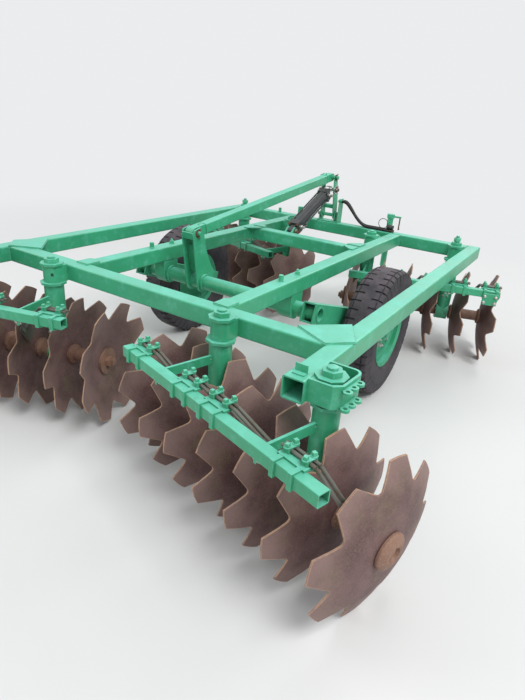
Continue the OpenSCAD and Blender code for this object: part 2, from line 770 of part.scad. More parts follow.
// Side view of the lever with +Y along its length from the axle to the pin, its front edge hollowed
lever_back = 44;
lever_front = 52;
module lever_side()
    difference() {
        union() {
            circle(axle_r + 20);
            polygon([[-axle_r - 20, 0], [axle_r + 20, -20], [axle_r + 66, 22], [axle_r + 44, 0.22 * lever_len],
                [lever_front + 14, 0.45 * lever_len], [lever_front, 0.7 * lever_len], [lever_front, lever_len - 10],
                [lever_front - 22, lever_len + 26], [-lever_back + 16, lever_len + 26], [-lever_back, lever_len]]);
        }
        circle(axle_r + seat);
    }

// Turns a side view, x ahead and y up, into a plate that spans x0 to x1
module side_plate(x0, x1) translate([x0, 0, 0]) rotate([90, 0, 90]) linear_extrude(x1 - x0) children();

module lift_lever()
    color(shade) machine() translate([lever_x, axle_y, axle_z]) rotate([lever_lean, 0, 0]) {
        for (x = [-lever_w / 2, lever_w / 2 - box_t]) side_plate(x, x + box_t) lever_side();
        box([-lever_w / 2 + box_t, -14, axle_r + 24], [lever_w / 2 - box_t, -14 + box_t, lever_len - 80]);
        box([-lever_w / 2 + box_t, -lever_back, lever_len - 24],
            [lever_w / 2 - box_t, -lever_back + box_t, lever_len + 14]);
        x_at = lever_w / 2 + 22;
        translate([0, 0, lever_len]) x_cyl(-x_at, x_at, link_pin_r);
    }

// The box runs flatter than the line from the axle to the spindle, which a plate carries
arm_rise = 4;
arm_tail = 60;
module wheel_arm_box()
    translate([0, axle_y, axle_z]) {
        x0 = axle_half - arm_inset - arm_w;
        x1 = axle_half - arm_inset;
        end = wheel_arm + arm_tail;
        rotate([arm_rise - arm_angle, 0, 0]) difference() {
            box([x0, -72, -arm_box_h / 2], [x1, end, arm_box_h / 2]);
            box([x0 + box_t, -73, -arm_box_h / 2 + box_t], [x1 - box_t, end - box_t, arm_box_h / 2 - box_t]);
            x_cyl(0, 2 * axle_half, axle_r + seat);
        }
        rotate([-arm_angle, 0, 0]) translate([0, wheel_arm, 0]) {
            side_plate(x1 - 12, x1 + 2)
                polygon([[-64, 34], [48, 34], [48, -28], [22, -50], [-22, -50], [-64, -14]]);
            x_cyl(x1 - 12, wheel_x + hub_half - 12, spindle_r);
            x_cyl(x1 - 12, wheel_x - hub_half - 2, spindle_r + 12);
        }
    }
module wheel_arms() color(paint) machine() both_sides() wheel_arm_box();

// Wheels

module at_wheel(side) machine() sided(side) translate([wheel_x, wheel_y, tyre_r]) rotate([0, 90, 0]) children();

// Half section of the tyre: tread, shoulders and walls down to the rim, with its air space
tyre_wall = 16;
module tyre_outline(half, top, foot, foot_half)
    polygon([[foot, -foot_half], [foot + 22, -foot_half - 14], [foot + 0.45 * (top - foot), -half],
        [foot + 0.62 * (top - foot), -half], [top - 16, -half + 12], [top - 2, -half + 40], [top, 0],
        [top - 2, half - 40], [top - 16, half - 12], [foot + 0.62 * (top - foot), half],
        [foot + 0.45 * (top - foot), half], [foot + 22, foot_half + 14], [foot, foot_half]]);
module tyre_section() difference() {
    tyre_outline(tyre_w / 2, tyre_r, rim_r, rim_half - 2);
    tyre_outline(tyre_w / 2 - tyre_wall, tyre_r - 1.6 * tyre_wall, rim_r - 1, rim_half - 20);
}
module tyre(side) color("dimgray") at_wheel(side) rotate_extrude($fn = 96) tyre_section();

// Rim with bead flanges and a dished disc, and the hub in its middle.
// Half of the channel's line, [out from the seat, across], and its thickness inwards
rim_t = 5;
rim_drop = 20;
rim_line = [[16, rim_half + 10], [-seat, rim_half], [-seat, rim_half - 24], [-rim_drop, rim_half - 38]];
rim_under = [[16, rim_half + 10 + rim_t], [-seat - rim_t, rim_half + 3], [-seat - rim_t, rim_half - 22],
    [-rim_drop - rim_t, rim_half - 36]];
module rim_channel()
    translate([rim_r, 0]) polygon([
        for (p = rim_line) p,
        for (k = [len(rim_line) - 1 : -1 : 0]) [rim_line[k].x, -rim_line[k].y],
        for (p = rim_under) [p.x, -p.y],
        for (k = [len(rim_under) - 1 : -1 : 0]) rim_under[k]
    ]);
module rim_disc()
    polygon([[rim_r - rim_drop - 2, 4], [rim_r - rim_drop - 2, 12], [hub_r + 60, 34], [hub_r - 8, 34], [hub_r - 14, hub_half], [0, hub_half],
        [0, hub_half - 8], [spindle_r + run_fit, hub_half - 8], [spindle_r + run_fit, -hub_half],
        [hub_r - 10, -hub_half], [hub_r - 4, 26], [hub_r + 58, 26]]);
module rim(side) color(paint) at_wheel(side) {
    rotate_extrude($fn = 96) rim_channel();
    rotate_extrude($fn = 96) rim_disc();
}

// Rocker, link bar and cylinder

module rocker_side()
    difference() {
        union() {
            circle(34);
            polygon([[-34, 0], [34, 0], [44, 0.35 * lever_len], [40, 0.7 * lever_len], [26, lever_len],
                [-24, lever_len], [-30, 0.6 * lever_len], [-34, 0.3 * lever_len]]);
            translate([0, lever_len * cyl_share]) circle(link_pin_r + rod_eye_play + 14);
            translate([0, lever_len]) circle(24);
        }
        circle(link_pin_r + run_fit);
        translate([0, lever_len * cyl_share]) circle(link_pin_r + rod_eye_play);
    }

module rocker()
    color(shade) machine() translate([rocker_x, rocker_pivot.x, rocker_pivot.y]) rotate([lever_lean, 0, 0]) {
        for (x = [-rocker_w / 2, rocker_w / 2 - box_t]) side_plate(x, x + box_t) rocker_side();
        x_at = rocker_w / 2 + 22;
        translate([0, 0, lever_len]) x_cyl(-x_at, x_at, link_pin_r);
        box([-rocker_w / 2 + box_t, -12, 60], [rocker_w / 2 - box_t, 12, 90]);
    }

// Bracket of the rocker on the front beam, with the upright stay that holds the hoses
module rocker_bracket()
    color(shade) machine() translate([rocker_x, rocker_pivot.x, frame_top]) {
        cheek = rocker_w / 2 + 6;
        stay = hose_a[0].x - 12 - rocker_x;
        stay_half = 40;
        box([-cheek - 20, -tube / 2 + 4, 0], [stay, tube / 2 - 4, 8]);
        for (x = [-cheek - 8, cheek]) side_plate(x, x + 8) {
            polygon([[-tube / 2 + 6, 8], [tube / 2 - 6, 8], [30, rocker_rise], [-30, rocker_rise]]);
            translate([0, rocker_rise]) circle(30);
        }
        translate([0, 0, rocker_rise]) x_cyl(-cheek - 24, cheek + 14, link_pin_r);
        box([stay - 6, -stay_half, 0], [stay, stay_half, hose_a[0].z + hose_r + 7]);
        for (start = [hose_a[0], hose_b[0]])
            translate([stay - 18, start.y + rocker_back, start.z]) x_cyl(0, 18 + start.x - stay - rocker_x, hose_r);
    }

// The link bar hangs on the rocker's pin and reaches back to the lever's pin.
// Its own frame has x along the bar, from the rocker's pin to the lever's.
module link_bar()
    color(shade) machine() translate([rocker_x, rocker_pin.x, rocker_pin.y])
        rotate([link_angle, 0, 0]) rotate([0, 0, -90 + link_skew]) difference() {
            union() {
                beam(link_end, link_run - link_end, link_side, 5, 6);
                for (e = [0, link_run]) translate([e, 0, 0]) rotate([90, 0, 0])
                    translate([0, 0, -link_eye_w / 2]) cylinder(r = link_side / 2, h = link_eye_w);
                for (e = [[0, link_end], [link_run - link_end, link_run]])
                    box([e[0], -link_eye_w / 2, -link_side / 2], [e[1], link_eye_w / 2, link_side / 2]);
            }
            for (e = [0, link_run]) translate([e, 0, 0]) rotate([90, 0, -link_skew])
                cylinder(r = link_pin_r + (e > 0 ? link_play : run_fit), h = 2 * link_side, center = true);
        }

module cylinder_bracket()
    color(shade) machine() translate([rocker_x, cyl_rear.x, cyl_rear.y]) {
        for (x = [-cyl_clevis / 2 - 10, cyl_clevis / 2]) side_plate(x, x + 10) {
            polygon([[-cyl_pin_ahead, -80], [-cyl_pin_ahead, -12], [0, 28], [26, -14]]);
            circle(28);
        }
        x_cyl(-cyl_clevis / 2 - 24, cyl_clevis / 2 + 24, link_pin_r);
    }

// The cylinder's own frame has x across and y along the rod
module on_cylinder(at)
    machine() translate([rocker_x, at.x, at.y]) rotate([cyl_angle, 0, 0]) children();

module y_cyl(y0, y1, r) translate([0, y0, 0]) rotate([-90, 0, 0]) cylinder(r = r, h = y1 - y0);

module cylinder_barrel()
    color("dimgray") on_cylinder(cyl_rear) difference() {
        union() {
            x_cyl(-cyl_eye_w / 2, cyl_eye_w / 2, cyl_eye_r);
            box([-cyl_eye_w / 2, 0, -24], [cyl_eye_w / 2, cap_start + 1, 24]);
            y_cyl(cap_start, barrel_end, barrel_r);
            for (y = [cap_start, barrel_end - cap_len])
                box([-cap_side / 2, y, -cap_side / 2], [cap_side / 2, y + cap_len, cap_side / 2]);
            for (x = [-1, 1], z = [-1, 1]) translate([x, 0, z] * (cap_side / 2 - 9))
                y_cyl(cap_start + cap_len, barrel_end - cap_len, 6);
        }
        x_cyl(-cap_side, cap_side, link_pin_r + run_fit);
        y_cyl(barrel_end - rod_room, barrel_end + 1, rod_r + run_fit);
    }

module cylinder_rod()
    color("silver") on_cylinder(cyl_front) {
        y_cyl(barrel_end - rod_room + 70 - cyl_len, 0, rod_r);
        x_cyl(-cyl_eye_w / 2, cyl_eye_w / 2, cyl_eye_r);
        x_at = rocker_w / 2 + seat;
        x_cyl(-x_at - 22, x_at + 22, link_pin_r);
        for (x = [-x_at - 6, x_at]) x_cyl(x, x + 6, link_pin_r + 20);
    }

// Drawbar

module hinge_lugs()
    color(paint) machine() both_sides() translate([drawbar_half, hinge_y, hinge_z]) {
        for (x = [-lug_gap / 2 - lug_t, lug_gap / 2]) side_plate(x, x + lug_t) {
            circle(lug_r);
            polygon([[frame_l - hinge_y, tube - 24], [frame_l - hinge_y, -14], [0, -lug_r], [0, lug_r]]);
        }
        x_cyl(-lug_gap / 2 - lug_t - 14, lug_gap / 2 + lug_t + 14, hinge_r);
    }

// The drawbar's own frame: y along it from the hinges to the eye, z square to its plane
module on_drawbar() machine() translate([0, hinge_y, hinge_z]) rotate([-drawbar_angle, 0, 0]) children();

module drawbar_leg(side)
    color(paint) on_drawbar() sided(side) difference() {
        union() {
            translate([drawbar_half, 0, 0]) x_cyl(-lug_gap / 2 + 1, lug_gap / 2 - 1, lug_r - 2);
            translate([drawbar_half, 0, 0]) rotate([0, 0, leg_angle])
                box([-28, 0, -28], [28, 56, 28]);
            translate([drawbar_half, 0, 0]) rotate([0, 0, 90 + leg_angle]) {
                beam(50, leg_end_y + 100, drawbar_side, drawbar_wall, 8);
                translate([50, 0, 0]) rotate([90, 0, 90]) linear_extrude(8) round_square(drawbar_side, 8);
            }
        }
        translate([drawbar_half, 0, 0]) x_cyl(-lug_gap, lug_gap, hinge_r + run_fit);
        box([-drawbar_half, 60, -drawbar_side], [0, drawbar_len, drawbar_side]);
        box([-drawbar_half, leg_end_y, -drawbar_side], [drawbar_half, leg_end_y + 200, drawbar_side]);
    }
module drawbar_right() drawbar_leg(1);
module drawbar_left() drawbar_leg(-1);

// Half the clear width between the legs at a distance along the drawbar
function leg_gap(y) = drawbar_half - y * tan(leg_angle) - drawbar_side / 2 / cos(leg_angle);

// Head of the drawbar: end plate, tongue and towing eye, and the plate that holds the jack
module drawbar_head()
    color(paint) difference() {
        union() {
            on_drawbar() {
                box([-head_half - 44, leg_end_y, -drawbar_side / 2], [head_half + 44, leg_end_y + 12, drawbar_side / 2]);
                box([-32, leg_end_y + 12, -eye_t / 2], [32, drawbar_len - eye_r - 10, eye_t / 2]);
                for (x = [-32, 20]) side_plate(x, x + 12)
                    polygon([[leg_end_y + 12, -drawbar_side / 2], [leg_end_y + 12, drawbar_side / 2],
                        [leg_end_y + 130, eye_t / 2], [leg_end_y + 130, -eye_t / 2]]);
                translate([0, 0, -6]) linear_extrude(12) polygon([
                    [-leg_gap(leg_end_y - 160), leg_end_y - 160], [leg_gap(leg_end_y - 160), leg_end_y - 160],
                    [leg_gap(leg_end_y), leg_end_y], [-leg_gap(leg_end_y), leg_end_y]]);
            }
            machine() translate([0, eye_y, eye_h - eye_t / 2]) cylinder(r = eye_out_r, h = eye_t);
        }
        machine() translate([0, eye_y, eye_h - 100]) cylinder(r = eye_r, h = 200);
        machine() translate([0, jack_y, 0]) cylinder(r = jack_r + seat, h = 2 * frame_top);
    }

module jack_tube()
    color(shade) machine() translate([0, jack_y, 0]) difference() {
        union() {
            translate([0, 0, jack_low]) cylinder(r = jack_r, h = jack_top - jack_low);
            translate([0, 0, jack_top]) cylinder(r = jack_r + 8, h = 40);
            translate([0, 0, jack_top + 20]) rotate([0, 90, 0]) cylinder(r = 9, h = 110);
        }
        translate([0, 0, jack_low - 1]) cylinder(r = jack_leg_r + run_fit, h = jack_top - jack_low - 20);
    }

module jack_leg()
    color("silver") machine() translate([0, jack_y, 0]) {
        cylinder(r = jack_leg_r, h = jack_low + 220);
        cylinder(r = 70, h = 8);
        translate([0, 0, 8]) cylinder(r1 = 40, r2 = 30, h = 24);
    }

// Hoses from the stay beside the rocker to the couplings parked on the front beam

// Points of a ring round a hose that runs in a plane across the machine
hose_sides = 10;
function hose_dir(p, k) = let (v = p[min(k + 1, len(p) - 1)] - p[max(k - 1, 0)]) v / norm(v);
function hose_ring(p, k) = let (d = hose_dir(p, k))
    [for (j = [0 : hose_sides - 1]) let (a = 360 * j / hose_sides)
        p[k] + hose_r * (cos(a) * [0, 1, 0] + sin(a) * cross(d, [0, 1, 0]))];
module hose(p) {
    n = len(p);
    polyhedron(
        [for (k = [0 : n - 1]) each hose_ring(p, k)],
        concat(
            [[for (j = [0 : hose_sides - 1]) j]],
            [for (k = [0 : n - 2], j = [0 : hose_sides - 1]) let (m = (j + 1) % hose_sides)
                [k * hose_sides + j, (k + 1) * hose_sides + j, (k + 1) * hose_sides + m, k * hose_sides + m]],
            [[for (j = [hose_sides - 1 : -1 : 0]) (n - 1) * hose_sides + j]]));
}
module hose_front() color("dimgray") machine() translate([0, frame_l, frame_top]) hose(hose_b);
module hose_rear() color("dimgray") machine() translate([0, frame_l, frame_top]) hose(hose_a);

// A coupling: ferrule, body and nose, lying on the beam, its axis along +X
module coupling() {
    x_cyl(0, 30, hose_r);
    x_cyl(28, 34, hose_r - 1);
    x_cyl(34, 86, hose_r);
    x_cyl(86, 104, 8);
}
module couplings()
    color("dimgray") machine() translate([0, frame_l, frame_top])
        for (p = [hose_a, hose_b]) translate(p[len(p) - 1]) coupling();

rear_beam();
side_beam(1);  // side_beam_right
side_beam(-1);  // side_beam_left
inner_beam(1);  // inner_beam_right
inner_beam(-1);  // inner_beam_left
cross_beam();
front_beam();
joint_plates();
axle_bearings();
pivot_brackets();
pivot_caps();
rear_posts();
front_posts();
rear_scraper_beams();
front_scraper_beams();
rear_scrapers();
front_scrapers();
rear_scraper_rods();
front_scraper_rods();
cylinder_bracket();
rocker_bracket();
hinge_lugs();
axle_tube();
lift_lever();
wheel_arms();
tyre(1);  // tyre_right
tyre(-1);  // tyre_left
rim(1);  // rim_right
rim(-1);  // rim_left
rocker();
link_bar();
cylinder_barrel();
cylinder_rod();
discs(false, 1);  // discs_rear_right
spools(false, 1);  // spools_rear_right
discs(false, -1);  // discs_rear_left
spools(false, -1);  // spools_rear_left
discs(true, 1);  // discs_front_right
spools(true, 1);  // spools_front_right
discs(true, -1);  // discs_front_left
spools(true, -1);  // spools_front_left
drawbar_right();
drawbar_left();
drawbar_head();
jack_tube();
jack_leg();
hose_front();
hose_rear();
couplings();
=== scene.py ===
import json
import math
import random

import bmesh
import bpy
from mathutils import Matrix, Vector


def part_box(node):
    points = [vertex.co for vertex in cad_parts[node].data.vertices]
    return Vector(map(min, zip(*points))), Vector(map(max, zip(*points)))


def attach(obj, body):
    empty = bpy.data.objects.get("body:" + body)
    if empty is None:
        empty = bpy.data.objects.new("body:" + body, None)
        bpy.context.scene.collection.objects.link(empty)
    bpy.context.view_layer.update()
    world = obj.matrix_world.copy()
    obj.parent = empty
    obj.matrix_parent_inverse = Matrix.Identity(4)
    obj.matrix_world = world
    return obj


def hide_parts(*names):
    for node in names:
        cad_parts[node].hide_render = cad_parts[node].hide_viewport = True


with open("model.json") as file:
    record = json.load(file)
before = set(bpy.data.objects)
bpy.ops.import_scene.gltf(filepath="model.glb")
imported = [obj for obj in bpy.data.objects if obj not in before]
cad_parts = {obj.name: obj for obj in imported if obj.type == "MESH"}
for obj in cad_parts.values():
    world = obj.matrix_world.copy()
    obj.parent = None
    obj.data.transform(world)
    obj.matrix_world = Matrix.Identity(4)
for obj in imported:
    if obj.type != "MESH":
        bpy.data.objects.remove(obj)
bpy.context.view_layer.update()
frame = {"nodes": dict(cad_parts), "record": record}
joints = {joint["name"]: joint for joint in frame["record"]["behaviour"]["joints"]}

# Sizes of the machine, in metres, as its frame has them
TUBE = 0.090
FRAME_TOP = 0.835
FRAME_BOTTOM = FRAME_TOP - TUBE
FRAME_HALF_W = 1.111
REAR_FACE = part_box("rear_beam")[0][1]
FRONT_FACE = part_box("front_beam")[1][1]
AXIS_H = 0.330
POST_GAP = 0.630
TYRE_R = 0.410


# The camera stands behind the machine, to its right, where the photograph was taken
CAMERA_AT = (1.753, REAR_FACE - 1.684, FRAME_TOP + 0.798)
CAMERA_YAW = math.radians(-31.02)
CAMERA_DOWN = math.radians(24.83)
CAMERA_ROLL = math.radians(4.57)
FOCAL_PIXELS = 508.7
PHOTO_LONG_SIDE = 700
SENSOR = 36.0


def make_camera():
    """The camera, level but for its roll, looking along its yaw and down."""
    ahead = Vector((math.sin(CAMERA_YAW) * math.cos(CAMERA_DOWN),
                    math.cos(CAMERA_YAW) * math.cos(CAMERA_DOWN), -math.sin(CAMERA_DOWN)))
    level = Vector((math.cos(CAMERA_YAW), -math.sin(CAMERA_YAW), 0))
    up = level.cross(ahead)
    right = level * math.cos(CAMERA_ROLL) + up * math.sin(CAMERA_ROLL)
    top = up * math.cos(CAMERA_ROLL) - level * math.sin(CAMERA_ROLL)
    camera = bpy.data.objects.new("camera", bpy.data.cameras.new("camera"))
    camera.matrix_world = Matrix((
        (right.x, top.x, -ahead.x, CAMERA_AT[0]),
        (right.y, top.y, -ahead.y, CAMERA_AT[1]),
        (right.z, top.z, -ahead.z, CAMERA_AT[2]),
        (0, 0, 0, 1)))
    camera.data.sensor_width = SENSOR
    camera.data.lens = FOCAL_PIXELS / PHOTO_LONG_SIDE * SENSOR
    camera.data.clip_start = 0.05
    camera.data.clip_end = 200
    bpy.context.collection.objects.link(camera)
    bpy.context.scene.camera = camera


make_camera()


# Hoses. Their points are [across, ahead of the front beam's front face, above the frame's top], in metres

HOSE_R = 0.011
HOSE_POINTS = {
    "hose_rear": [
        (-0.042, -0.063, 0.178), (-0.018, -0.063, 0.178), (0.012, -0.063, 0.164), (0.047, -0.063, 0.131),
        (0.082, -0.063, 0.094), (0.117, -0.063, 0.059), (0.152, -0.063, 0.032), (0.187, -0.063, 0.016),
        (0.222, -0.063, 0.0113), (0.262, -0.063, 0.0113), (0.302, -0.063, 0.0113), (0.338, -0.063, 0.0113)],
    "hose_front": [
        (-0.042, -0.027, 0.178), (-0.020, -0.027, 0.178), (0.008, -0.027, 0.161), (0.042, -0.027, 0.124),
        (0.074, -0.027, 0.086), (0.110, -0.027, 0.051), (0.146, -0.027, 0.026), (0.182, -0.027, 0.0135),
        (0.218, -0.027, 0.0113), (0.258, -0.027, 0.0113), (0.298, -0.027, 0.0113), (0.328, -0.027, 0.0113)],
}


def hose_route(name):
    """A hose's points in world space, from the stay to its coupling."""
    return [Vector((x, FRONT_FACE + y, FRAME_TOP + z)) for x, y, z in HOSE_POINTS[name]]


def smooth_route(points, steps=4):
    """Points on a smooth curve through the route's points."""
    padded = [2 * points[0] - points[1], *points, 2 * points[-1] - points[-2]]
    line = []
    for k in range(1, len(padded) - 2):
        a, b, c, d = padded[k - 1:k + 3]
        for j in range(steps):
            t = j / steps
            line.append(0.5 * (2 * b + (c - a) * t + (2 * a - 5 * b + 4 * c - d) * t ** 2
                               + (3 * b - a - 3 * c + d) * t ** 3))
    return line + [points[-1]]


def make_hose(name):
    """A hose as a curve. Its points carry the radius, so that its bounding box fits it."""
    line = smooth_route(hose_route(name))
    curve = bpy.data.curves.new(name + "_cord", "CURVE")
    curve.dimensions = "3D"
    curve.bevel_depth = 1.0
    curve.bevel_resolution = 5
    curve.use_fill_caps = True
    spline = curve.splines.new("POLY")
    spline.points.add(len(line) - 1)
    for point, at in zip(spline.points, line):
        point.co = (*at, 1)
        point.radius = HOSE_R
    hose = bpy.data.objects.new(name + "_cord", curve)
    bpy.context.collection.objects.link(hose)
    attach(hose, "root")
    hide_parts(name)
    return hose


hoses = {name: make_hose(name) for name in HOSE_POINTS}


# Materials

class Shader:
    """One material, with short calls for the nodes that its surface needs."""

    def __init__(self, name, roughness=0.5, metallic=0.0, specular=0.5):
        self.material = bpy.data.materials.new(name)
        self.material.use_nodes = True
        self.nodes = self.material.node_tree.nodes
        self.links = self.material.node_tree.links
        self.surface = self.nodes["Principled BSDF"]
        self.surface.inputs["Roughness"].default_value = roughness
        self.surface.inputs["Metallic"].default_value = metallic
        self.surface.inputs["Specular IOR Level"].default_value = specular
        self.place = self.nodes.new("ShaderNodeTexCoord").outputs["Object"]
        self.normal = self.nodes.new("ShaderNodeNewGeometry").outputs["Normal"]

    def set(self, socket, value):
        """Links a socket to another one, or gives it a value."""
        if isinstance(value, bpy.types.NodeSocket):
            self.links.new(value, socket)
        elif isinstance(value, tuple) and len(value) == 3 and len(socket.default_value) == 4:
            socket.default_value = (*value, 1)
        else:
            socket.default_value = value

    def noise(self, scale, detail=4, roughness=0.55, place=None):
        """Cloudy noise from 0 to 1, in the object's own space unless a place is given."""
        node = self.nodes.new("ShaderNodeTexNoise")
        self.set(node.inputs["Vector"], place or self.place)
        node.inputs["Scale"].default_value = scale
        node.inputs["Detail"].default_value = detail
        node.inputs["Roughness"].default_value = roughness
        return node.outputs["Fac"]

    def math(self, what, a, b=0.0, clamp=False):
        node = self.nodes.new("ShaderNodeMath")
        node.operation = what
        node.use_clamp = clamp
        self.set(node.inputs[0], a)
        self.set(node.inputs[1], b)
        return node.outputs[0]

    def vector(self, what, a, b=(0, 0, 0), out="Vector"):
        node = self.nodes.new("ShaderNodeVectorMath")
        node.operation = what
        self.set(node.inputs[0], a)
        self.set(node.inputs[1], b)
        return node.outputs[out]

    def step(self, value, low, high):
        """0 below low, 1 above high, smooth between."""
        node = self.nodes.new("ShaderNodeMapRange")
        node.interpolation_type = "SMOOTHSTEP"
        self.set(node.inputs["Value"], value)
        node.inputs["From Min"].default_value = low
        node.inputs["From Max"].default_value = high
        return node.outputs["Result"]

    def mix(self, share, a, b):
        """One colour where the share is 0, the other where it is 1."""
        node = self.nodes.new("ShaderNodeMix")
        node.data_type = "RGBA"
        self.set(node.inputs["Factor"], share)
        self.set(node.inputs["A"], a)
        self.set(node.inputs["B"], b)
        return node.outputs["Result"]

    def tint(self, color, where, amount, tone):
        """A colour, brought to a tone by an amount where a mask is 1."""
        return self.mix(self.math("MULTIPLY", where, amount), color, tone)

    def rise(self, value, slope, start):
        """A start, and a slope times a value."""
        return self.math("ADD", self.math("MULTIPLY", value, slope), start)

    def facing(self, which):
        """How far the surface faces along one of the axes X, Y and Z."""
        node = self.nodes.new("ShaderNodeSeparateXYZ")
        self.set(node.inputs[0], self.normal)
        return node.outputs[which]

    def edges(self, radius=0.004):
        """1 on convex and concave edges, 0 on flat faces."""
        node = self.nodes.new("ShaderNodeBevel")
        node.samples = 4
        node.inputs["Radius"].default_value = radius
        along = self.vector("DOT_PRODUCT", node.outputs["Normal"], self.normal, out="Value")
        return self.step(along, 0.995, 0.90)

    def bump(self, height, distance, strength, below=None):
        """The normal of a surface with a height, over another bump where one is given."""
        node = self.nodes.new("ShaderNodeBump")
        node.inputs["Strength"].default_value = strength
        node.inputs["Distance"].default_value = distance
        self.set(node.inputs["Height"], height)
        if below is not None:
            self.set(node.inputs["Normal"], below)
        return node.outputs["Normal"]

    def finish(self, color, roughness=None, normal=None):
        """Sets what the surface shows, and gives its material."""
        self.set(self.surface.inputs["Base Color"], color)
        if roughness is not None:
            self.set(self.surface.inputs["Roughness"], roughness)
        if normal is not None:
            self.set(self.surface.inputs["Normal"], normal)
        return self.material


GREEN = (0.048, 0.400, 0.205)
GREEN_DARK = (0.028, 0.290, 0.140)
# Pale green: for random paler patches and dust, and for the painted sky reflection on tops and the painted
# highlight on edges
GREEN_PALE = (0.240, 0.730, 0.620)
# Dark green-grey: for the painted shade in corners, and for stains
SHADE_AND_GRIME = (0.060, 0.110, 0.070)
OLIVE = (0.200, 0.165, 0.085)
SOIL = (0.30, 0.215, 0.15)
SCUFF = (0.12, 0.085, 0.07)
CHIP_DARK = (0.085, 0.032, 0.018)
CHIP_LIGHT = (0.27, 0.115, 0.05)
DISC_DEEP = (0.105, 0.054, 0.050)
DISC_MID = (0.185, 0.106, 0.100)
DISC_LIGHT = (0.320, 0.212, 0.185)
# Pale orange of the painted highlight and wear along the discs' edges
DISC_EDGE = (0.640, 0.380, 0.205)
DISC_R = 0.33
DISC_WORN_R = DISC_R * 0.55


def paint(name, base, dark, pale, chips=1.3):
    """Old brushed enamel: blotches, a painted sky reflection on faces that point up with dust on them, a
    painted highlight on edges, painted shade with dirt in corners, and rust where edges are chipped.
    """
    s = Shader(name)
    blotch = s.noise(3.2, detail=4, roughness=0.55)
    cloud = s.noise(17, detail=5, roughness=0.65)
    color = s.tint(base, s.step(blotch, 0.35, 0.68), 0.6, dark)
    color = s.tint(color, s.step(cloud, 0.48, 0.78), 0.28, pale)
    up_sheen_and_dust = s.step(s.facing("Z"), 0.55, 0.98)
    dust = s.math("MULTIPLY", up_sheen_and_dust, s.step(s.noise(8, detail=6, roughness=0.72), 0.36, 0.78))
    # Every face that points up is painted paler: a painted sky reflection on the tops. The patchy tint after
    # it is dust.
    color = s.tint(color, up_sheen_and_dust, 0.34, pale)
    color = s.tint(color, dust, 0.42, pale)
    edge = s.edges()
    # Edges painted paler all along: a painted highlight. The same edge mask also places the rust chips
    # further down.
    color = s.tint(color, edge, 0.30, pale)
    # Corners and recesses found by ambient occlusion are darkened towards a dark grime colour in noisy
    # patches: painted shade, mixed with dirt.
    corner = s.nodes.new("ShaderNodeAmbientOcclusion")
    corner.samples = 4
    corner.inputs["Distance"].default_value = 0.045
    corner_shade_mask = s.step(corner.outputs["AO"], 0.62, 0.25)
    corner_shade_and_dirt = s.math("MULTIPLY", corner_shade_mask, s.step(s.noise(30, detail=5, roughness=0.7), 0.30, 0.66))
    color = s.tint(color, corner_shade_and_dirt, 0.75, SHADE_AND_GRIME)
    stain = s.step(s.noise(2.6, detail=8, roughness=0.74), 0.60, 0.80)
    color = s.tint(color, stain, 0.40, SHADE_AND_GRIME)
    chip_noise = s.noise(44, detail=6, roughness=0.74)
    chip = s.math("MULTIPLY", edge, s.step(chip_noise, 0.63 - 0.06 * chips, 0.69))
    spots = s.step(s.noise(23, detail=8, roughness=0.78), 0.745 - 0.025 * chips, 0.765)
    rusty = s.math("MAXIMUM", chip, spots)
    rust = s.mix(s.noise(90, detail=4), CHIP_DARK, CHIP_LIGHT)
    color = s.mix(rusty, color, rust)
    rough = s.rise(cloud, 0.22, 0.24)
    dull = s.math("MAXIMUM", rusty, s.math("MAXIMUM", corner_shade_and_dirt, dust))
    rough = s.math("ADD", rough, s.math("MULTIPLY", dull, 0.34), clamp=True)
    ripple = s.bump(s.noise(26, detail=3), 0.0012, 0.4)
    grain = s.math("SUBTRACT", s.math("MULTIPLY", s.noise(300, detail=2), 0.2), rusty)
    return s.finish(color, rough, s.bump(grain, 0.0005, 0.6, below=ripple))


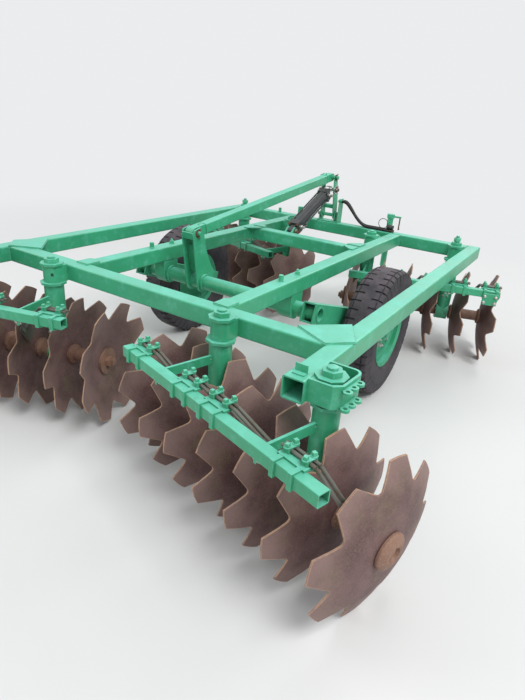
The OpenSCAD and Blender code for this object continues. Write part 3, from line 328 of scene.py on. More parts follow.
def rusty_steel(name, deep, mid, light, edge_highlight_and_wear_color=None, centre=None, axis=None):
    """Brown rusted steel. With an edge colour, its edges get a patchy painted highlight as well as wear.
    With a centre and an axis, it is a turned disc's.
    """
    s = Shader(name, metallic=0.12)
    patches = s.noise(6.5, detail=6, roughness=0.65)
    grain = s.noise(150, detail=5, roughness=0.7)
    color = s.mix(s.step(patches, 0.35, 0.65), deep, mid)
    color = s.tint(color, s.step(grain, 0.45, 0.75), 0.5, light)
    height = grain
    if centre is not None:
        offset = s.vector("SUBTRACT", s.place, tuple(centre))
        radius = s.vector("LENGTH", s.vector("CROSS_PRODUCT", offset, tuple(axis)), out="Value")
        wander = s.math("MULTIPLY", s.math("SUBTRACT", patches, 0.5), 0.10)
        worn = s.step(s.math("ADD", radius, wander), DISC_WORN_R, DISC_R)
        color = s.tint(color, worn, 0.6, light)
        earth = s.step(s.noise(3.6, detail=6, roughness=0.72), 0.50, 0.68)
        earthy = s.math("MULTIPLY", earth, s.math("SUBTRACT", 1.0, worn))
        color = s.tint(color, earthy, 0.5, OLIVE)
        soil = s.step(s.noise(11, detail=7, roughness=0.75), 0.60, 0.74)
        color = s.tint(color, soil, 0.45, SOIL)
        line = s.nodes.new("ShaderNodeCombineXYZ")
        s.set(line.inputs[0], radius)
        turned = s.nodes.new("ShaderNodeTexWave")
        turned.bands_direction = "X"
        turned.inputs["Scale"].default_value = 55
        turned.inputs["Distortion"].default_value = 2.2
        s.set(turned.inputs["Vector"], line.outputs[0])
        fine = s.noise(90, detail=5, roughness=0.8, place=line.outputs[0])
        color = s.tint(color, s.step(fine, 0.52, 0.70), 0.28, light)
        height = s.math("ADD", grain, s.math("MULTIPLY", turned.outputs["Fac"], 0.16))
    if edge_highlight_and_wear_color is not None:
        # Edges painted pale orange in noisy patches: a painted highlight, as well as wear.
        edge = s.math("MULTIPLY", s.edges(0.006), s.step(s.noise(24, detail=5, roughness=0.7), 0.28, 0.58))
        color = s.tint(color, edge, 0.9, edge_highlight_and_wear_color)
    rough = s.rise(patches, 0.2, 0.50)
    return s.finish(color, rough, s.bump(height, 0.0007, 0.7))


def bare_metal(name, color, dark, roughness, metallic=0.9):
    """Plated or bare metal, stained in places."""
    s = Shader(name, metallic=metallic)
    stain = s.noise(18, detail=6, roughness=0.7)
    color = s.mix(s.step(stain, 0.45, 0.75), color, dark)
    rough = s.rise(stain, 0.25, roughness)
    return s.finish(color, rough, s.bump(s.noise(120, detail=3), 0.0003, 0.4))


def rubber(name, base, dusty, grain=260.0):
    """Rubber with dust, more of it where it faces up, and brown scuffs."""
    s = Shader(name, specular=0.35)
    lying = s.rise(s.step(s.facing("Z"), -0.2, 0.9), 0.5, 0.4)
    dust = s.math("MULTIPLY", s.step(s.noise(9, detail=6, roughness=0.7), 0.32, 0.72), lying)
    tone = s.mix(dust, base, dusty)
    scuffs = s.step(s.noise(22, detail=5), 0.58, 0.78)
    tone = s.tint(tone, scuffs, 0.4, SCUFF)
    rough = s.rise(dust, 0.2, 0.62)
    return s.finish(tone, rough, s.bump(s.noise(grain, detail=3, roughness=0.6), 0.0006, 0.5))


materials = {
    "green_paint": paint("green_paint", GREEN, GREEN_DARK, GREEN_PALE),
    "spool": rusty_steel("spool", (0.14, 0.070, 0.048), (0.28, 0.155, 0.105), (0.42, 0.285, 0.205)),
    "tyre": rubber("tyre", (0.035, 0.032, 0.038), (0.125, 0.105, 0.118)),
    "hose": rubber("hose", (0.012, 0.012, 0.013), (0.05, 0.048, 0.045), grain=500.0),
    "coupling": bare_metal("coupling", (0.05, 0.05, 0.052), (0.11, 0.085, 0.06), 0.42),
    "cylinder_paint": paint("cylinder_paint", (0.040, 0.043, 0.048), (0.024, 0.026, 0.030),
                            (0.12, 0.12, 0.115), chips=0.8),
    "chrome_rod": bare_metal("chrome_rod", (0.72, 0.72, 0.73), (0.45, 0.42, 0.38), 0.12),
    "bare_steel": bare_metal("bare_steel", (0.150, 0.155, 0.130), (0.135, 0.085, 0.060), 0.48,
                             metallic=0.35),
    "zinc": bare_metal("zinc", (0.56, 0.56, 0.53), (0.33, 0.27, 0.21), 0.36, metallic=0.75),
    "worn_paint": paint("worn_paint", GREEN, GREEN_DARK, GREEN_PALE, chips=3.0),
    "rusty_pin": rusty_steel("rusty_pin", (0.075, 0.036, 0.026), (0.19, 0.090, 0.052), (0.31, 0.19, 0.13)),
}
slot_of_node = {part["node"]: part["material_slot"] for part in frame["record"]["subparts"]}


def disc_material(gang):
    """The steel of a gang's discs, its turned marks round the gang's own axis."""
    joint = joints[f"gang_{gang}_spin"]
    return rusty_steel(f"disc_{gang}", DISC_DEEP, DISC_MID, DISC_LIGHT, DISC_EDGE,
                       centre=joint["pos_m"], axis=joint["axis"])


GANGS = ("rear_right", "rear_left", "front_right", "front_left")
for gang in GANGS:
    materials[f"disc_{gang}"] = disc_material(gang)

for name, node in frame["nodes"].items():
    chosen = name.replace("discs_", "disc_") if name.startswith("discs_") else slot_of_node[name]
    node.data.materials.clear()
    node.data.materials.append(materials[chosen])
for hose in hoses.values():
    hose.data.materials.append(materials["hose"])


# Mesh helpers

def new_piece(name, mesh_builder, material, body, smooth=True):
    """An object from a bmesh, riding on a body, with a material."""
    bmesh.ops.recalc_face_normals(mesh_builder, faces=mesh_builder.faces)
    mesh = bpy.data.meshes.new(name)
    mesh_builder.to_mesh(mesh)
    mesh_builder.free()
    piece = bpy.data.objects.new(name, mesh)
    bpy.context.collection.objects.link(piece)
    mesh.materials.append(materials[material])
    for face in mesh.polygons:
        face.use_smooth = smooth
    if smooth:
        mesh.set_sharp_from_angle(angle=math.radians(38))
    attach(piece, body)
    return piece


def shift(x, y, z):
    """A matrix that moves along the axes."""
    return Matrix.Translation((x, y, z))


def spin(angle, axis):
    """A matrix that turns about one axis."""
    return Matrix.Rotation(angle, 4, axis)


def frame_at(at, direction):
    """A matrix that puts +Z along a direction, at a point."""
    turn = Vector(direction).to_track_quat("Z", "Y").to_matrix().to_4x4()
    return Matrix.Translation(at) @ turn


def axes_at(at, x, y, z):
    """A matrix with these axes and this origin."""
    return Matrix(((*x, 0), (*y, 0), (*z, 0), (*at, 1))).transposed()


def gang_frame(gang):
    """A gang's frame: x outboard along its axis from the inner post, y ahead, z up, at the axis."""
    joint = joints[f"gang_{gang}_spin"]
    out = Vector(joint["axis"])
    side = 1 if gang.endswith("right") else -1
    return axes_at(joint["pos_m"], out, Vector((-out.y, out.x, 0)) * side, (0, 0, 1))


def leaning(at, degrees):
    """A frame with x across, tilted back about x by an angle: y ahead and z up before it leans."""
    return Matrix.Translation(at) @ spin(math.radians(degrees), "X")


def add_lathe(mesh, profile, place, segments=24):
    """The solid that a closed profile of (radius, height) sweeps round +Z."""
    rings = []
    for k in range(segments):
        angle = 2 * math.pi * k / segments
        rings.append([mesh.verts.new(place @ Vector((r * math.cos(angle), r * math.sin(angle), z)))
                      for r, z in profile])
    for k in range(segments):
        here, there = rings[k], rings[(k + 1) % segments]
        for j in range(len(profile)):
            m = (j + 1) % len(profile)
            mesh.faces.new((here[j], there[j], there[m], here[m]))


def add_knob(mesh, profile, place, segments=20):
    """The solid of a profile of (radius, height) from bottom to top, closed by flat ends."""
    rings = [[mesh.verts.new(place @ Vector((r * math.cos(2 * math.pi * k / segments),
                                             r * math.sin(2 * math.pi * k / segments), z)))
              for k in range(segments)] for r, z in profile]
    for a, b in zip(rings, rings[1:]):
        for k in range(segments):
            mesh.faces.new((a[k], a[(k + 1) % segments], b[(k + 1) % segments], b[k]))
    mesh.faces.new(rings[-1])
    mesh.faces.new(rings[0][::-1])


WASHER_T = 0.0025
BOLT_PITCH = 0.0022


def add_bolt(mesh, place, across, height, washer=True, sides=6, stud=0.0, turn=0.0):
    """A bolt's head or nut that stands on a frame's XY plane, on its washer, with its thread's end."""
    lift = WASHER_T if washer else 0.0
    radius = across / 2 / math.cos(math.pi / sides)
    if washer:
        add_knob(mesh, [(radius * 1.22, 0), (radius * 1.22, lift * 0.8), (radius * 1.18, lift)], place, 18)
    turned = place @ spin(turn, "Z")
    top = lift + height
    head = [(radius, lift * 0.9), (radius, top - height * 0.16), (radius * 0.86, top)]
    add_knob(mesh, head, turned, sides)
    if stud > 0:
        thread = across * 0.29
        count = max(2, int(stud / BOLT_PITCH))
        rows = []
        for k in range(count):
            z = top - 0.001 + stud * k / count
            rows += [(thread, z), (thread * 0.88, z + stud / count / 2)]
        add_knob(mesh, rows + [(thread * 0.8, top + stud)], place, 14)


def add_tube(mesh, points, radius, sides=8, ripple=0.0, seed=0):
    """A round bar along points in world space. With ripple, its radius varies as a weld's bead does."""
    draw = random.Random(seed)
    rings = []
    for k, at in enumerate(points):
        ahead = (points[min(k + 1, len(points) - 1)] - points[max(k - 1, 0)]).normalized()
        across = ahead.orthogonal().normalized()
        if abs(ahead.z) < 0.9:
            across = ahead.cross(Vector((0, 0, 1))).normalized()
        up = ahead.cross(across)
        r = radius * (1 + ripple * (draw.random() - 0.5 + (0.5 if k % 2 else -0.5)))
        rings.append([mesh.verts.new(at + r * (math.cos(t) * across + math.sin(t) * up))
                      for t in (2 * math.pi * j / sides for j in range(sides))])
    for a, b in zip(rings, rings[1:]):
        for j in range(sides):
            mesh.faces.new((a[j], a[(j + 1) % sides], b[(j + 1) % sides], b[j]))
    mesh.faces.new(rings[-1])
    mesh.faces.new(rings[0][::-1])


WELD_R = 0.0045
WELD_STEP = 0.0045
WELD_SIDES = 6
WELD_RIPPLE = 0.30


def add_weld(mesh, corners, radius=WELD_R):
    """A weld's bead along straight stretches between corners."""
    points = [Vector(corners[0])]
    for a, b in zip(corners, corners[1:]):
        a, b = Vector(a), Vector(b)
        count = max(2, int((b - a).length / WELD_STEP))
        points += [a.lerp(b, (k + 1) / count) for k in range(count)]
    add_tube(mesh, points, radius, WELD_SIDES, ripple=WELD_RIPPLE, seed=round(sum(corners[0]) * 1000))


COTTER_R = 0.0022


def add_cotter(mesh, place, pin_r):
    """A split pin through a pin that lies along the frame's z: its loop, and two legs bent apart."""
    loop = [place @ Vector((0, pin_r + 0.005 + 0.006 * (1 - math.cos(t)), 0.005 * math.sin(t)))
            for t in (math.pi * k / 4 for k in range(8))]
    add_tube(mesh, loop + [place @ Vector((0, pin_r + 0.003, 0))], COTTER_R, 6)
    for way in (-1, 1):
        leg = ((0.004, 0.001), (-0.004, 0.002), (-0.012, 0.007), (-0.016, 0.012))
        add_tube(mesh, [place @ Vector((0, -pin_r + y, way * z)) for y, z in leg], COTTER_R, 6)


# Wheels

# The tread is nearly flat out to its crown's edge, then round out to its shoulder, then steep
CROWN_HALF = 0.064
CROWN_DROP = 0.002
SHOULDER_HALF = 0.092
SHOULDER_DROP = 0.016
WALL_SLOPE = 5.25
TREAD_HALF = 0.1035
CENTRE_RIB = 0.026
CHANNEL = (0.063, 0.070)
SLOT_DEEP = 0.009
SHOULDER_DEEP = 0.012
LUGS_AROUND = 44
# Where a slot starts and ends over one lug's pitch, on the right half of the tread and on the left
SLOTS = {1: (0.28, 0.50), -1: (0.78, 0.98)}
SLOT_EDGE = 0.012


def tread_depth(x, phase):
    """How deep the tread is cut at a distance from its middle line. phase runs from 0 to 1 over a lug."""
    away = abs(x)
    if away < CENTRE_RIB or away > TREAD_HALF:
        return 0.0
    start, end = SLOTS[1 if x > 0 else -1]
    in_slot = start < phase < end
    if CHANNEL[0] < away < CHANNEL[1]:
        return SLOT_DEEP if in_slot else SLOT_DEEP * 0.75
    return (SLOT_DEEP if away < CHANNEL[0] else SHOULDER_DEEP) if in_slot else 0.0


def tyre_radius(x):
    """The tyre's outer radius at a distance from its middle line."""
    away = abs(x)
    if away < CROWN_HALF:
        return TYRE_R - CROWN_DROP * (away / CROWN_HALF) ** 2
    if away < SHOULDER_HALF:
        share = (away - CROWN_HALF) / (SHOULDER_HALF - CROWN_HALF)
        return TYRE_R - CROWN_DROP - (SHOULDER_DROP - CROWN_DROP) * share ** 1.6
    return TYRE_R - SHOULDER_DROP - WALL_SLOPE * (away - SHOULDER_HALF)


def tread_stations():
    """Distances across the tread at which its rings of points lie, close together at each cut's edge."""
    half = [0.0, CENTRE_RIB - 0.001, CENTRE_RIB + 0.001, 0.044, CHANNEL[0] - 0.0005, CHANNEL[0] + 0.0015,
            CHANNEL[1] - 0.0015, CHANNEL[1] + 0.0005, 0.080, SHOULDER_HALF, 0.098, 0.1033, 0.104]
    return [-x for x in half[:0:-1]] + half


def wheel_of(side):
    """The name of a side's wheel, and its middle."""
    body = "wheel_right" if side > 0 else "wheel_left"
    return body, Vector(joints[body + "_spin"]["pos_m"])


def make_tyre(side):
    """A tyre: its section, cut by the tread, is swept round, and its walls run in to the rim."""
    body, at = wheel_of(side)
    mesh = bmesh.new()
    place = axes_at(at, (0, 1, 0), (0, 0, 1), (1, 0, 0))
    wall = [(0.322, 0.104), (0.312, 0.1035), (0.306, 0.104), (0.296, 0.104), (0.262, 0.099), (0.252, 0.0965),
            (0.246, 0.0955), (0.240, 0.0915), (0.225, 0.0855), (0.212, 0.080), (0.204, 0.072)]
    inner = [(0.204, 0.050), (0.240, 0.060), (0.330, 0.078), (0.378, 0.050)]
    half = wall + inner
    other_half = [(r, -x) for r, x in inner[::-1]] + [(r, -x) for r, x in wall[::-1]]
    edges = [edge for pair in SLOTS.values() for edge in pair]
    steps = sorted(edge + way * SLOT_EDGE for edge in edges for way in (-1, 1))
    rings = []
    for lug in range(LUGS_AROUND):
        for phase in steps:
            angle = 2 * math.pi * (lug + phase) / LUGS_AROUND
            tread = [(tyre_radius(x) - tread_depth(x, phase), x) for x in tread_stations()]
            rings.append([mesh.verts.new(place @ Vector((r * math.cos(angle), r * math.sin(angle), x)))
                          for r, x in tread + half + other_half])
    for a, b in zip(rings, rings[1:] + rings[:1]):
        for j in range(len(a)):
            m = (j + 1) % len(a)
            mesh.faces.new((a[j], b[j], b[m], a[m]))
    name = body.replace("wheel", "tyre")
    tyre = new_piece(name + "_tread", mesh, "tyre", body)
    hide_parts(name)


# On a wheel's outer face: [distance from the axis, 0, distance from the wheel's middle plane]
NUT_AT = (0.084, 0, 0.034)
CAP_BOLT_AT = (0.036, 0, 0.0655)
VALVE_AT = (0.150, 0, 0.020)
VALVE_LEAN = math.radians(-18)
HUB_CAP = [(0.033, 0.0655), (0.033, 0.074), (0.029, 0.082), (0.016, 0.088), (0.004, 0.090)]
VALVE = [(0.006, 0), (0.0055, 0.008), (0.004, 0.010), (0.004, 0.034), (0.005, 0.036), (0.005, 0.044)]


def make_wheel_fittings(side):
    """Wheel nuts, hub cap and valve on a rim's outer face."""
    body, at = wheel_of(side)
    face = frame_at(at, (side, 0, 0))
    nuts = bmesh.new()
    for k in range(6):
        turn = spin(2 * math.pi * (k + 0.25) / 6, "Z")
        add_bolt(nuts, face @ turn @ Matrix.Translation(NUT_AT), 0.027, 0.016, stud=0.012)
    new_piece(body + "_nuts", nuts, "zinc", body)
    cap = bmesh.new()
    add_knob(cap, HUB_CAP, face, 28)
    for k in range(4):
        turn = spin(2 * math.pi * (k + 0.5) / 4, "Z")
        add_bolt(cap, face @ turn @ Matrix.Translation(CAP_BOLT_AT), 0.009, 0.005, washer=False)
    new_piece(body + "_hub_cap", cap, "green_paint", body)
    valve = bmesh.new()
    stem = face @ Matrix.Translation(VALVE_AT) @ spin(VALVE_LEAN, "Y")
    add_knob(valve, VALVE, stem, 12)
    new_piece(body + "_valve", valve, "hose", body)


for side in (1, -1):
    make_tyre(side)
    make_wheel_fittings(side)


# Scrapers and gangs

BEAM_BACK = 0.300
BEAM_HALF = 0.025
CLIP_TOP = 0.027
STRAP_T = 0.007
HOLDER_TOP = {"rear": 0.350, "front": 0.295}
# Where the clamps stand along the scraper beams
CLAMPS = {"rear": (-0.180, 0.175, 0.355, 0.752), "front": (0.899, 0.686, 0.490, 0.235)}
CLIP_OUT = 0.040
BOLT_ROWS = (-0.268, -0.231)
POST_R = 0.051
POSTS = (0.0, POST_GAP)
# A post's bolts: height over the gang's axis, and distance across
POST_BOLTS = ((0.135, -0.016), (0.135, 0.016), (0.185, 0.0), (0.330, 0.0))
BEARING_R = 0.062
BEARING_HALF = 0.044
BEARING_BOLTS_R = 0.051
NIPPLE_OUT = 0.028
NIPPLE = [(0.0028, 0.004), (0.0028, 0.009), (0.0036, 0.011), (0.0024, 0.014)]
# The bolt through the tabs of a post's arm: where its head and its nut stand, and how far below the beam
TAB_HEAD = -0.020
TAB_NUT = -0.008
TAB_DOWN = 0.013


def make_scraper_bolts(gang):
    """Tall square-headed bolts on the clips, and nuts under the straps."""
    end = gang.split("_")[0]
    place = gang_frame(gang)
    heads = bmesh.new()
    for clamp in CLAMPS[end]:
        for dx in (-CLIP_OUT, CLIP_OUT):
            for y in BOLT_ROWS:
                at = shift(clamp + dx, y, HOLDER_TOP[end] + CLIP_TOP)
                uneven = math.pi / 4 + 0.3 * math.sin(900 * (clamp + y))
                add_bolt(heads, place @ at, 0.015, 0.013, sides=4, turn=uneven)
            under = shift(clamp + dx, -BEAM_BACK, HOLDER_TOP[end] - 2 * BEAM_HALF - STRAP_T)
            add_bolt(heads, place @ under @ spin(math.pi, "X"), 0.014, 0.009, washer=False)
    new_piece(f"scraper_bolts_{gang}", heads, "worn_paint", "root")


def make_post_fittings(gang):
    """Bolts and grease nipples on a gang's two posts and bearings, and bolts through the beam's tabs."""
    end = gang.split("_")[0]
    place = gang_frame(gang)
    bolts = bmesh.new()
    nipples = bmesh.new()
    for s in POSTS:
        for z, dx in POST_BOLTS:
            lean = math.asin(dx / POST_R)
            turn = shift(s, 0, z) @ spin(math.pi + lean, "Z")
            head = turn @ shift(0, POST_R - 0.0005, 0) @ spin(-math.pi / 2, "X")
            add_bolt(bolts, place @ head, 0.012, 0.006)
        for way in (-1, 1):
            for k in range(6):
                angle = math.radians(60 * k + 30)
                y = BEARING_BOLTS_R * math.cos(angle)
                z = BEARING_BOLTS_R * math.sin(angle)
                face = shift(s + way * BEARING_HALF, y, z) @ spin(way * math.pi / 2, "Y")
                add_bolt(bolts, place @ face, 0.011, 0.006, washer=False)
        nipple = shift(s + NIPPLE_OUT, -BEARING_R + 0.001, 0) @ spin(math.pi / 2, "X")
        add_bolt(nipples, place @ nipple, 0.010, 0.005, washer=False)
        add_knob(nipples, NIPPLE, place @ nipple, 10)
        z = HOLDER_TOP[end] - 2 * BEAM_HALF - TAB_DOWN
        head = shift(s + TAB_HEAD, -BEAM_BACK, z) @ spin(-math.pi / 2, "Y")
        add_bolt(bolts, place @ head, 0.017, 0.008)
        nut = shift(s + TAB_NUT, -BEAM_BACK, z) @ spin(math.pi / 2, "Y")
        add_bolt(bolts, place @ nut, 0.017, 0.010, stud=0.010)
    new_piece(f"post_bolts_{gang}", bolts, "zinc", "root")
    new_piece(f"grease_nipples_{gang}", nipples, "rusty_pin", "root")


def make_stud_threads():
    """Thread on the studs that stand out of the pivot nuts, and a second nut on the front outer ones."""
    low = 0.0345
    pitch = 0.003
    top = 0.0445
    rows = []
    for k in range(3):
        rows += [(0.0204, low + pitch * k), (0.0186, low + pitch * k + pitch / 2)]
    rows += [(0.0190, top - 0.0013), (0.0165, top)]
    mesh = bmesh.new()
    for gang in GANGS:
        place = gang_frame(gang)
        for s in POSTS:
            at = place @ shift(s, 0, FRAME_TOP - AXIS_H)
            add_knob(mesh, rows, at, 24)
            if gang.startswith("front") and s > 0:
                nut = at @ shift(0, 0, top - 0.0002)
                add_bolt(mesh, nut, 0.046, 0.026, washer=False, stud=0.014, turn=0.3)
    new_piece("pivot_stud_threads", mesh, "green_paint", "root")


for gang in GANGS:
    make_scraper_bolts(gang)
    make_post_fittings(gang)
make_stud_threads()


# Frame

INNER_X = (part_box("inner_beam_right")[0][0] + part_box("inner_beam_right")[1][0]) / 2
CROSS_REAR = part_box("cross_beam")[0][1]
# Ahead of the frame's rear face, and for the lugs across and ahead of it
STUD_AT = 0.589
BEARING_BOLT_AT = 0.768
REAR_LUG = (1.068, -0.267)
PLATE_REACH = 0.170
# The hangers and their bolts, from a hanger's middle and down from the scraper beam's top
HANGER_T = 0.008
HANGER_GAP = 0.0005
HANGER_HALF = 0.050
HANGER_BOLT_OUT = 0.036
HANGER_BOLTS_DOWN = (0.036, 0.080)
HANGER_DOWN = (0.014, 0.098)
DOME = [(0.0115, 0), (0.0115, 0.003), (0.010, 0.0065), (0.006, 0.0095), (0.002, 0.0105)]
STUB = [(0.0155, -0.001), (0.0155, 0.004), (0.0135, 0.006), (0.0135, 0.033), (0.0115, 0.035)]
# The rear pivots' brackets on the inner beams: [from the beam's middle, ahead of the frame's rear face]
BRACKET = ((-0.041, 0.060), (0.041, 0.060), (0.041, 0.144), (0.0225, 0.1575), (-0.0225, 0.1575),
           (-0.041, 0.144))


def add_plate(mesh, low, high, place, chamfer=0.002):
    """A plate between two corners of a frame, its long edges chamfered."""
    (x0, y0, z0), (x1, y1, z1) = low, high
    rings = []
    for y, c in ((y0, chamfer), (y0 + chamfer, 0), (y1 - chamfer, 0), (y1, chamfer)):
        outline = ((x0 + c, z0 + c), (x1 - c, z0 + c), (x1 - c, z1 - c), (x0 + c, z1 - c))
        rings.append([mesh.verts.new(place @ Vector((x, y, z))) for x, z in outline])
    for a, b in zip(rings, rings[1:]):
        for k in range(4):
            mesh.faces.new((a[k], a[(k + 1) % 4], b[(k + 1) % 4], b[k]))
    mesh.faces.new(rings[-1])
    mesh.faces.new(rings[0][::-1])


def make_end_brackets():
    """A hanger with four domed bolts over the straps of each front scraper beam's outer holder."""
    plates = bmesh.new()
    bolts = bmesh.new()
    top = HOLDER_TOP["front"]
    at = CLAMPS["front"][0]
    back = -BEAM_BACK - BEAM_HALF - STRAP_T - HANGER_GAP
    for gang in ("front_right", "front_left"):
        place = gang_frame(gang)
        low = (at - HANGER_HALF, back - HANGER_T, top - HANGER_DOWN[1])
        high = (at + HANGER_HALF, back, top - HANGER_DOWN[0])
        add_plate(plates, low, high, place)
        for s in (at - HANGER_BOLT_OUT, at + HANGER_BOLT_OUT):
            for down in HANGER_BOLTS_DOWN:
                dome = shift(s, low[1], top - down) @ spin(math.pi / 2, "X")
                add_knob(bolts, DOME, place @ dome, 18)
    new_piece("end_bracket_plates", plates, "green_paint", "root", smooth=False)
    new_piece("end_bracket_bolts", bolts, "zinc", "root")


def make_beam_studs():
    """Small studs and bolts that stand on the inner beams, and the pale bolts at the open rear ends."""
    mesh = bmesh.new()
    bolts = bmesh.new()
    for side in (1, -1):
        stub = shift(side * INNER_X, REAR_FACE + STUD_AT, FRAME_TOP)
        add_knob(mesh, STUB, stub, 24)
        bolt = shift(side * INNER_X, REAR_FACE + BEARING_BOLT_AT, FRAME_TOP)
        add_bolt(mesh, bolt, 0.026, 0.016, stud=0.012)
        lug = shift(side * REAR_LUG[0], REAR_FACE + REAR_LUG[1], FRAME_TOP + 0.020)
        for dx in (-0.009, 0.011):
            bolt = lug @ shift(dx, 0, 0) @ spin(-math.pi / 2, "X")
            add_bolt(bolts, bolt, 0.013, 0.007)
    new_piece("beam_studs", mesh, "green_paint", "root")
    new_piece("lug_bolts", bolts, "zinc", "root")


def make_frame_welds():
    """Beads where the frame's beams and plates meet."""
    mesh = bmesh.new()
    low = FRAME_BOTTOM + 0.01
    rounding = 0.008
    edge = FRAME_TOP - rounding
    top = FRAME_TOP - 0.001
    inner_ends = (REAR_FACE + TUBE, FRONT_FACE - TUBE)
    for side in (1, -1):
        x = side * (FRAME_HALF_W - TUBE)
        for y0, y1 in ((REAR_FACE, REAR_FACE + TUBE), (FRONT_FACE - TUBE, FRONT_FACE - 0.01)):
            add_weld(mesh, [(x, y0, low), (x, y0, edge), (x, y0 + rounding, top),
                            (x, y1 - rounding, top), (x, y1, edge), (x, y1, low)])
        for dx in (-TUBE / 2, TUBE / 2):
            x = side * INNER_X + dx
            for y in inner_ends:
                add_weld(mesh, [(x, y, low), (x, y, edge)])
        for y in inner_ends:
            add_weld(mesh, [(side * INNER_X - TUBE / 2 + rounding, y, top),
                            (side * INNER_X + TUBE / 2 - rounding, y, top)])
        x = side * (INNER_X - TUBE / 2)
        for y in (CROSS_REAR, CROSS_REAR + TUBE):
            add_weld(mesh, [(x, y, low), (x, y, edge)])
        x = FRAME_HALF_W - TUBE
        y = REAR_FACE + TUBE
        corner = [(x - PLATE_REACH, y), (x, y + PLATE_REACH), (x + TUBE, y), (x, y - TUBE)]
        bracket = [(INNER_X + dx, REAR_FACE + dy) for dx, dy in BRACKET]
        for outline, radius in ((corner, 0.0040), (bracket, 0.0038)):
            add_weld(mesh, [(side * x, y, FRAME_TOP + 0.001) for x, y in outline + outline[:1]], radius)
    new_piece("frame_welds", mesh, "green_paint", "root")


def make_pivot_welds():
    """Beads round the pipes of the gang posts, and where the scraper beams' arms meet them."""
    mesh = bmesh.new()
    arm_half_t = 0.006
    arm_half_h = 0.018
    flange_t = 0.012
    top = FRAME_BOTTOM - flange_t - 0.001 - AXIS_H
    for gang in GANGS:
        end = gang.split("_")[0]
        place = gang_frame(gang)
        beam_z = HOLDER_TOP[end] - BEAM_HALF
        for s in POSTS:
            ring = [place @ Vector((s + POST_R * math.cos(t), POST_R * math.sin(t), top))
                    for t in (2 * math.pi * k / 56 for k in range(57))]
            add_tube(mesh, ring, WELD_R, WELD_SIDES, ripple=WELD_RIPPLE, seed=round(s * 1000))
            for dx in (-arm_half_t, arm_half_t):
                for y in (-BEAM_BACK + BEAM_HALF, -POST_R + 0.001):
                    a = place @ Vector((s + dx, y, beam_z - arm_half_h))
                    b = place @ Vector((s + dx, y, beam_z + arm_half_h))
                    add_weld(mesh, [a, b], 0.0038)
    new_piece("post_welds", mesh, "green_paint", "root")


make_beam_studs()
make_end_brackets()
make_frame_welds()
make_pivot_welds()


# Lift linkage

LEVER_X = -0.198
LEVER_LEN = 0.318
LEVER_LEAN_DEG = 12
LEVER_HALF = 0.046
ROCKER_HALF = 0.059
# How far up the rocker the rod's pin stands
CYL_SHARE = 0.69
PIN_R = 0.014
PIN_WASHER_R = 0.024
PIN_PLAY = 0.0003
BARREL_R = 0.042
CAP_HALF = 0.044
CAP_START = 0.038
CAP_LEN = 0.052
ROD_SHORT = 0.072
TIE_OUT = 0.035
GLAND = [(0.0185, -0.002), (0.030, -0.002), (0.030, 0.0012), (0.0285, 0.0024), (0.0185, 0.0024)]
PORT = [(0.009, 0.012), (0.009, 0.022), (0.011, 0.023), (0.011, 0.036)]
PIPE_R = 0.0055
# The link bar: half its width, its corners' cut, and how far its tube and its nipples are from its pins
LINK_HALF = 0.0305
LINK_CUT = 0.006
LINK_TUBE_AT = 0.095
LINK_NIPPLE_AT = 0.060
LINK_EYE_HALF = 0.030
LINK_NIPPLE = [(0.0028, 0.004), (0.0028, 0.006), (0.0036, 0.008), (0.0024, 0.010)]


def pin_ends(name, body, place, ends):
    """Washers and split pins at both ends of a pin that lies along a frame's x."""
    mesh = bmesh.new()
    bore = PIN_R + 0.0005
    washer = [(bore, 0), (PIN_WASHER_R, 0), (PIN_WASHER_R, 0.003), (bore, 0.003)]
    for x, way in ends:
        turn = place @ shift(x, 0, 0) @ spin(way * math.pi / 2, "Y")
        add_lathe(mesh, washer, turn, 24)
        uneven = 0.6 + 9 * x
        add_cotter(mesh, turn @ shift(0, 0, 0.0075) @ spin(uneven, "Z"), PIN_R)
        add_knob(mesh, [(PIN_R, 0.0), (PIN_R, 0.018), (PIN_R - 0.002, 0.0215)], turn, 24)
    new_piece(name, mesh, "rusty_pin", body)


def lever_frame():
    """The lift lever's frame: it stands on the axle, leaning back, with z up its length."""
    axle = joints["axle_lift"]["pos_m"]
    return leaning((LEVER_X, axle[1], axle[2]), LEVER_LEAN_DEG)


def rocker_frame():
    """The rocker's frame, parallel to the lever's, on its pivot."""
    return leaning(joints["rocker_swing"]["pos_m"], LEVER_LEAN_DEG)


def make_pins():
    """The ends of the linkage's pins."""
    for name, body, place, up, half in (
            ("lever_pin_ends", "axle", lever_frame(), LEVER_LEN, LEVER_HALF + PIN_PLAY),
            ("rocker_pin_ends", "rocker", rocker_frame(), LEVER_LEN, ROCKER_HALF + PIN_PLAY),
            ("rod_pin_ends", "piston", rocker_frame(), LEVER_LEN * CYL_SHARE, ROCKER_HALF + 0.0063),
            ("cylinder_pin_ends", "root", leaning(joints["cylinder_tilt"]["pos_m"], 0), 0, 0.0323)):
        pin_ends(name, body, place @ shift(0, 0, up), [(half, 1), (-half, -1)])
    pivot = Matrix.Translation(joints["rocker_swing"]["pos_m"])
    pin_ends("rocker_pivot_ends", "root", pivot, [(-0.0735, -1)])


def cylinder_run():
    """From the cylinder's pivot to the rod's eye, at rest."""
    eye = rocker_frame() @ Vector((0, 0, LEVER_LEN * CYL_SHARE))
    return eye - Vector(joints["cylinder_tilt"]["pos_m"])


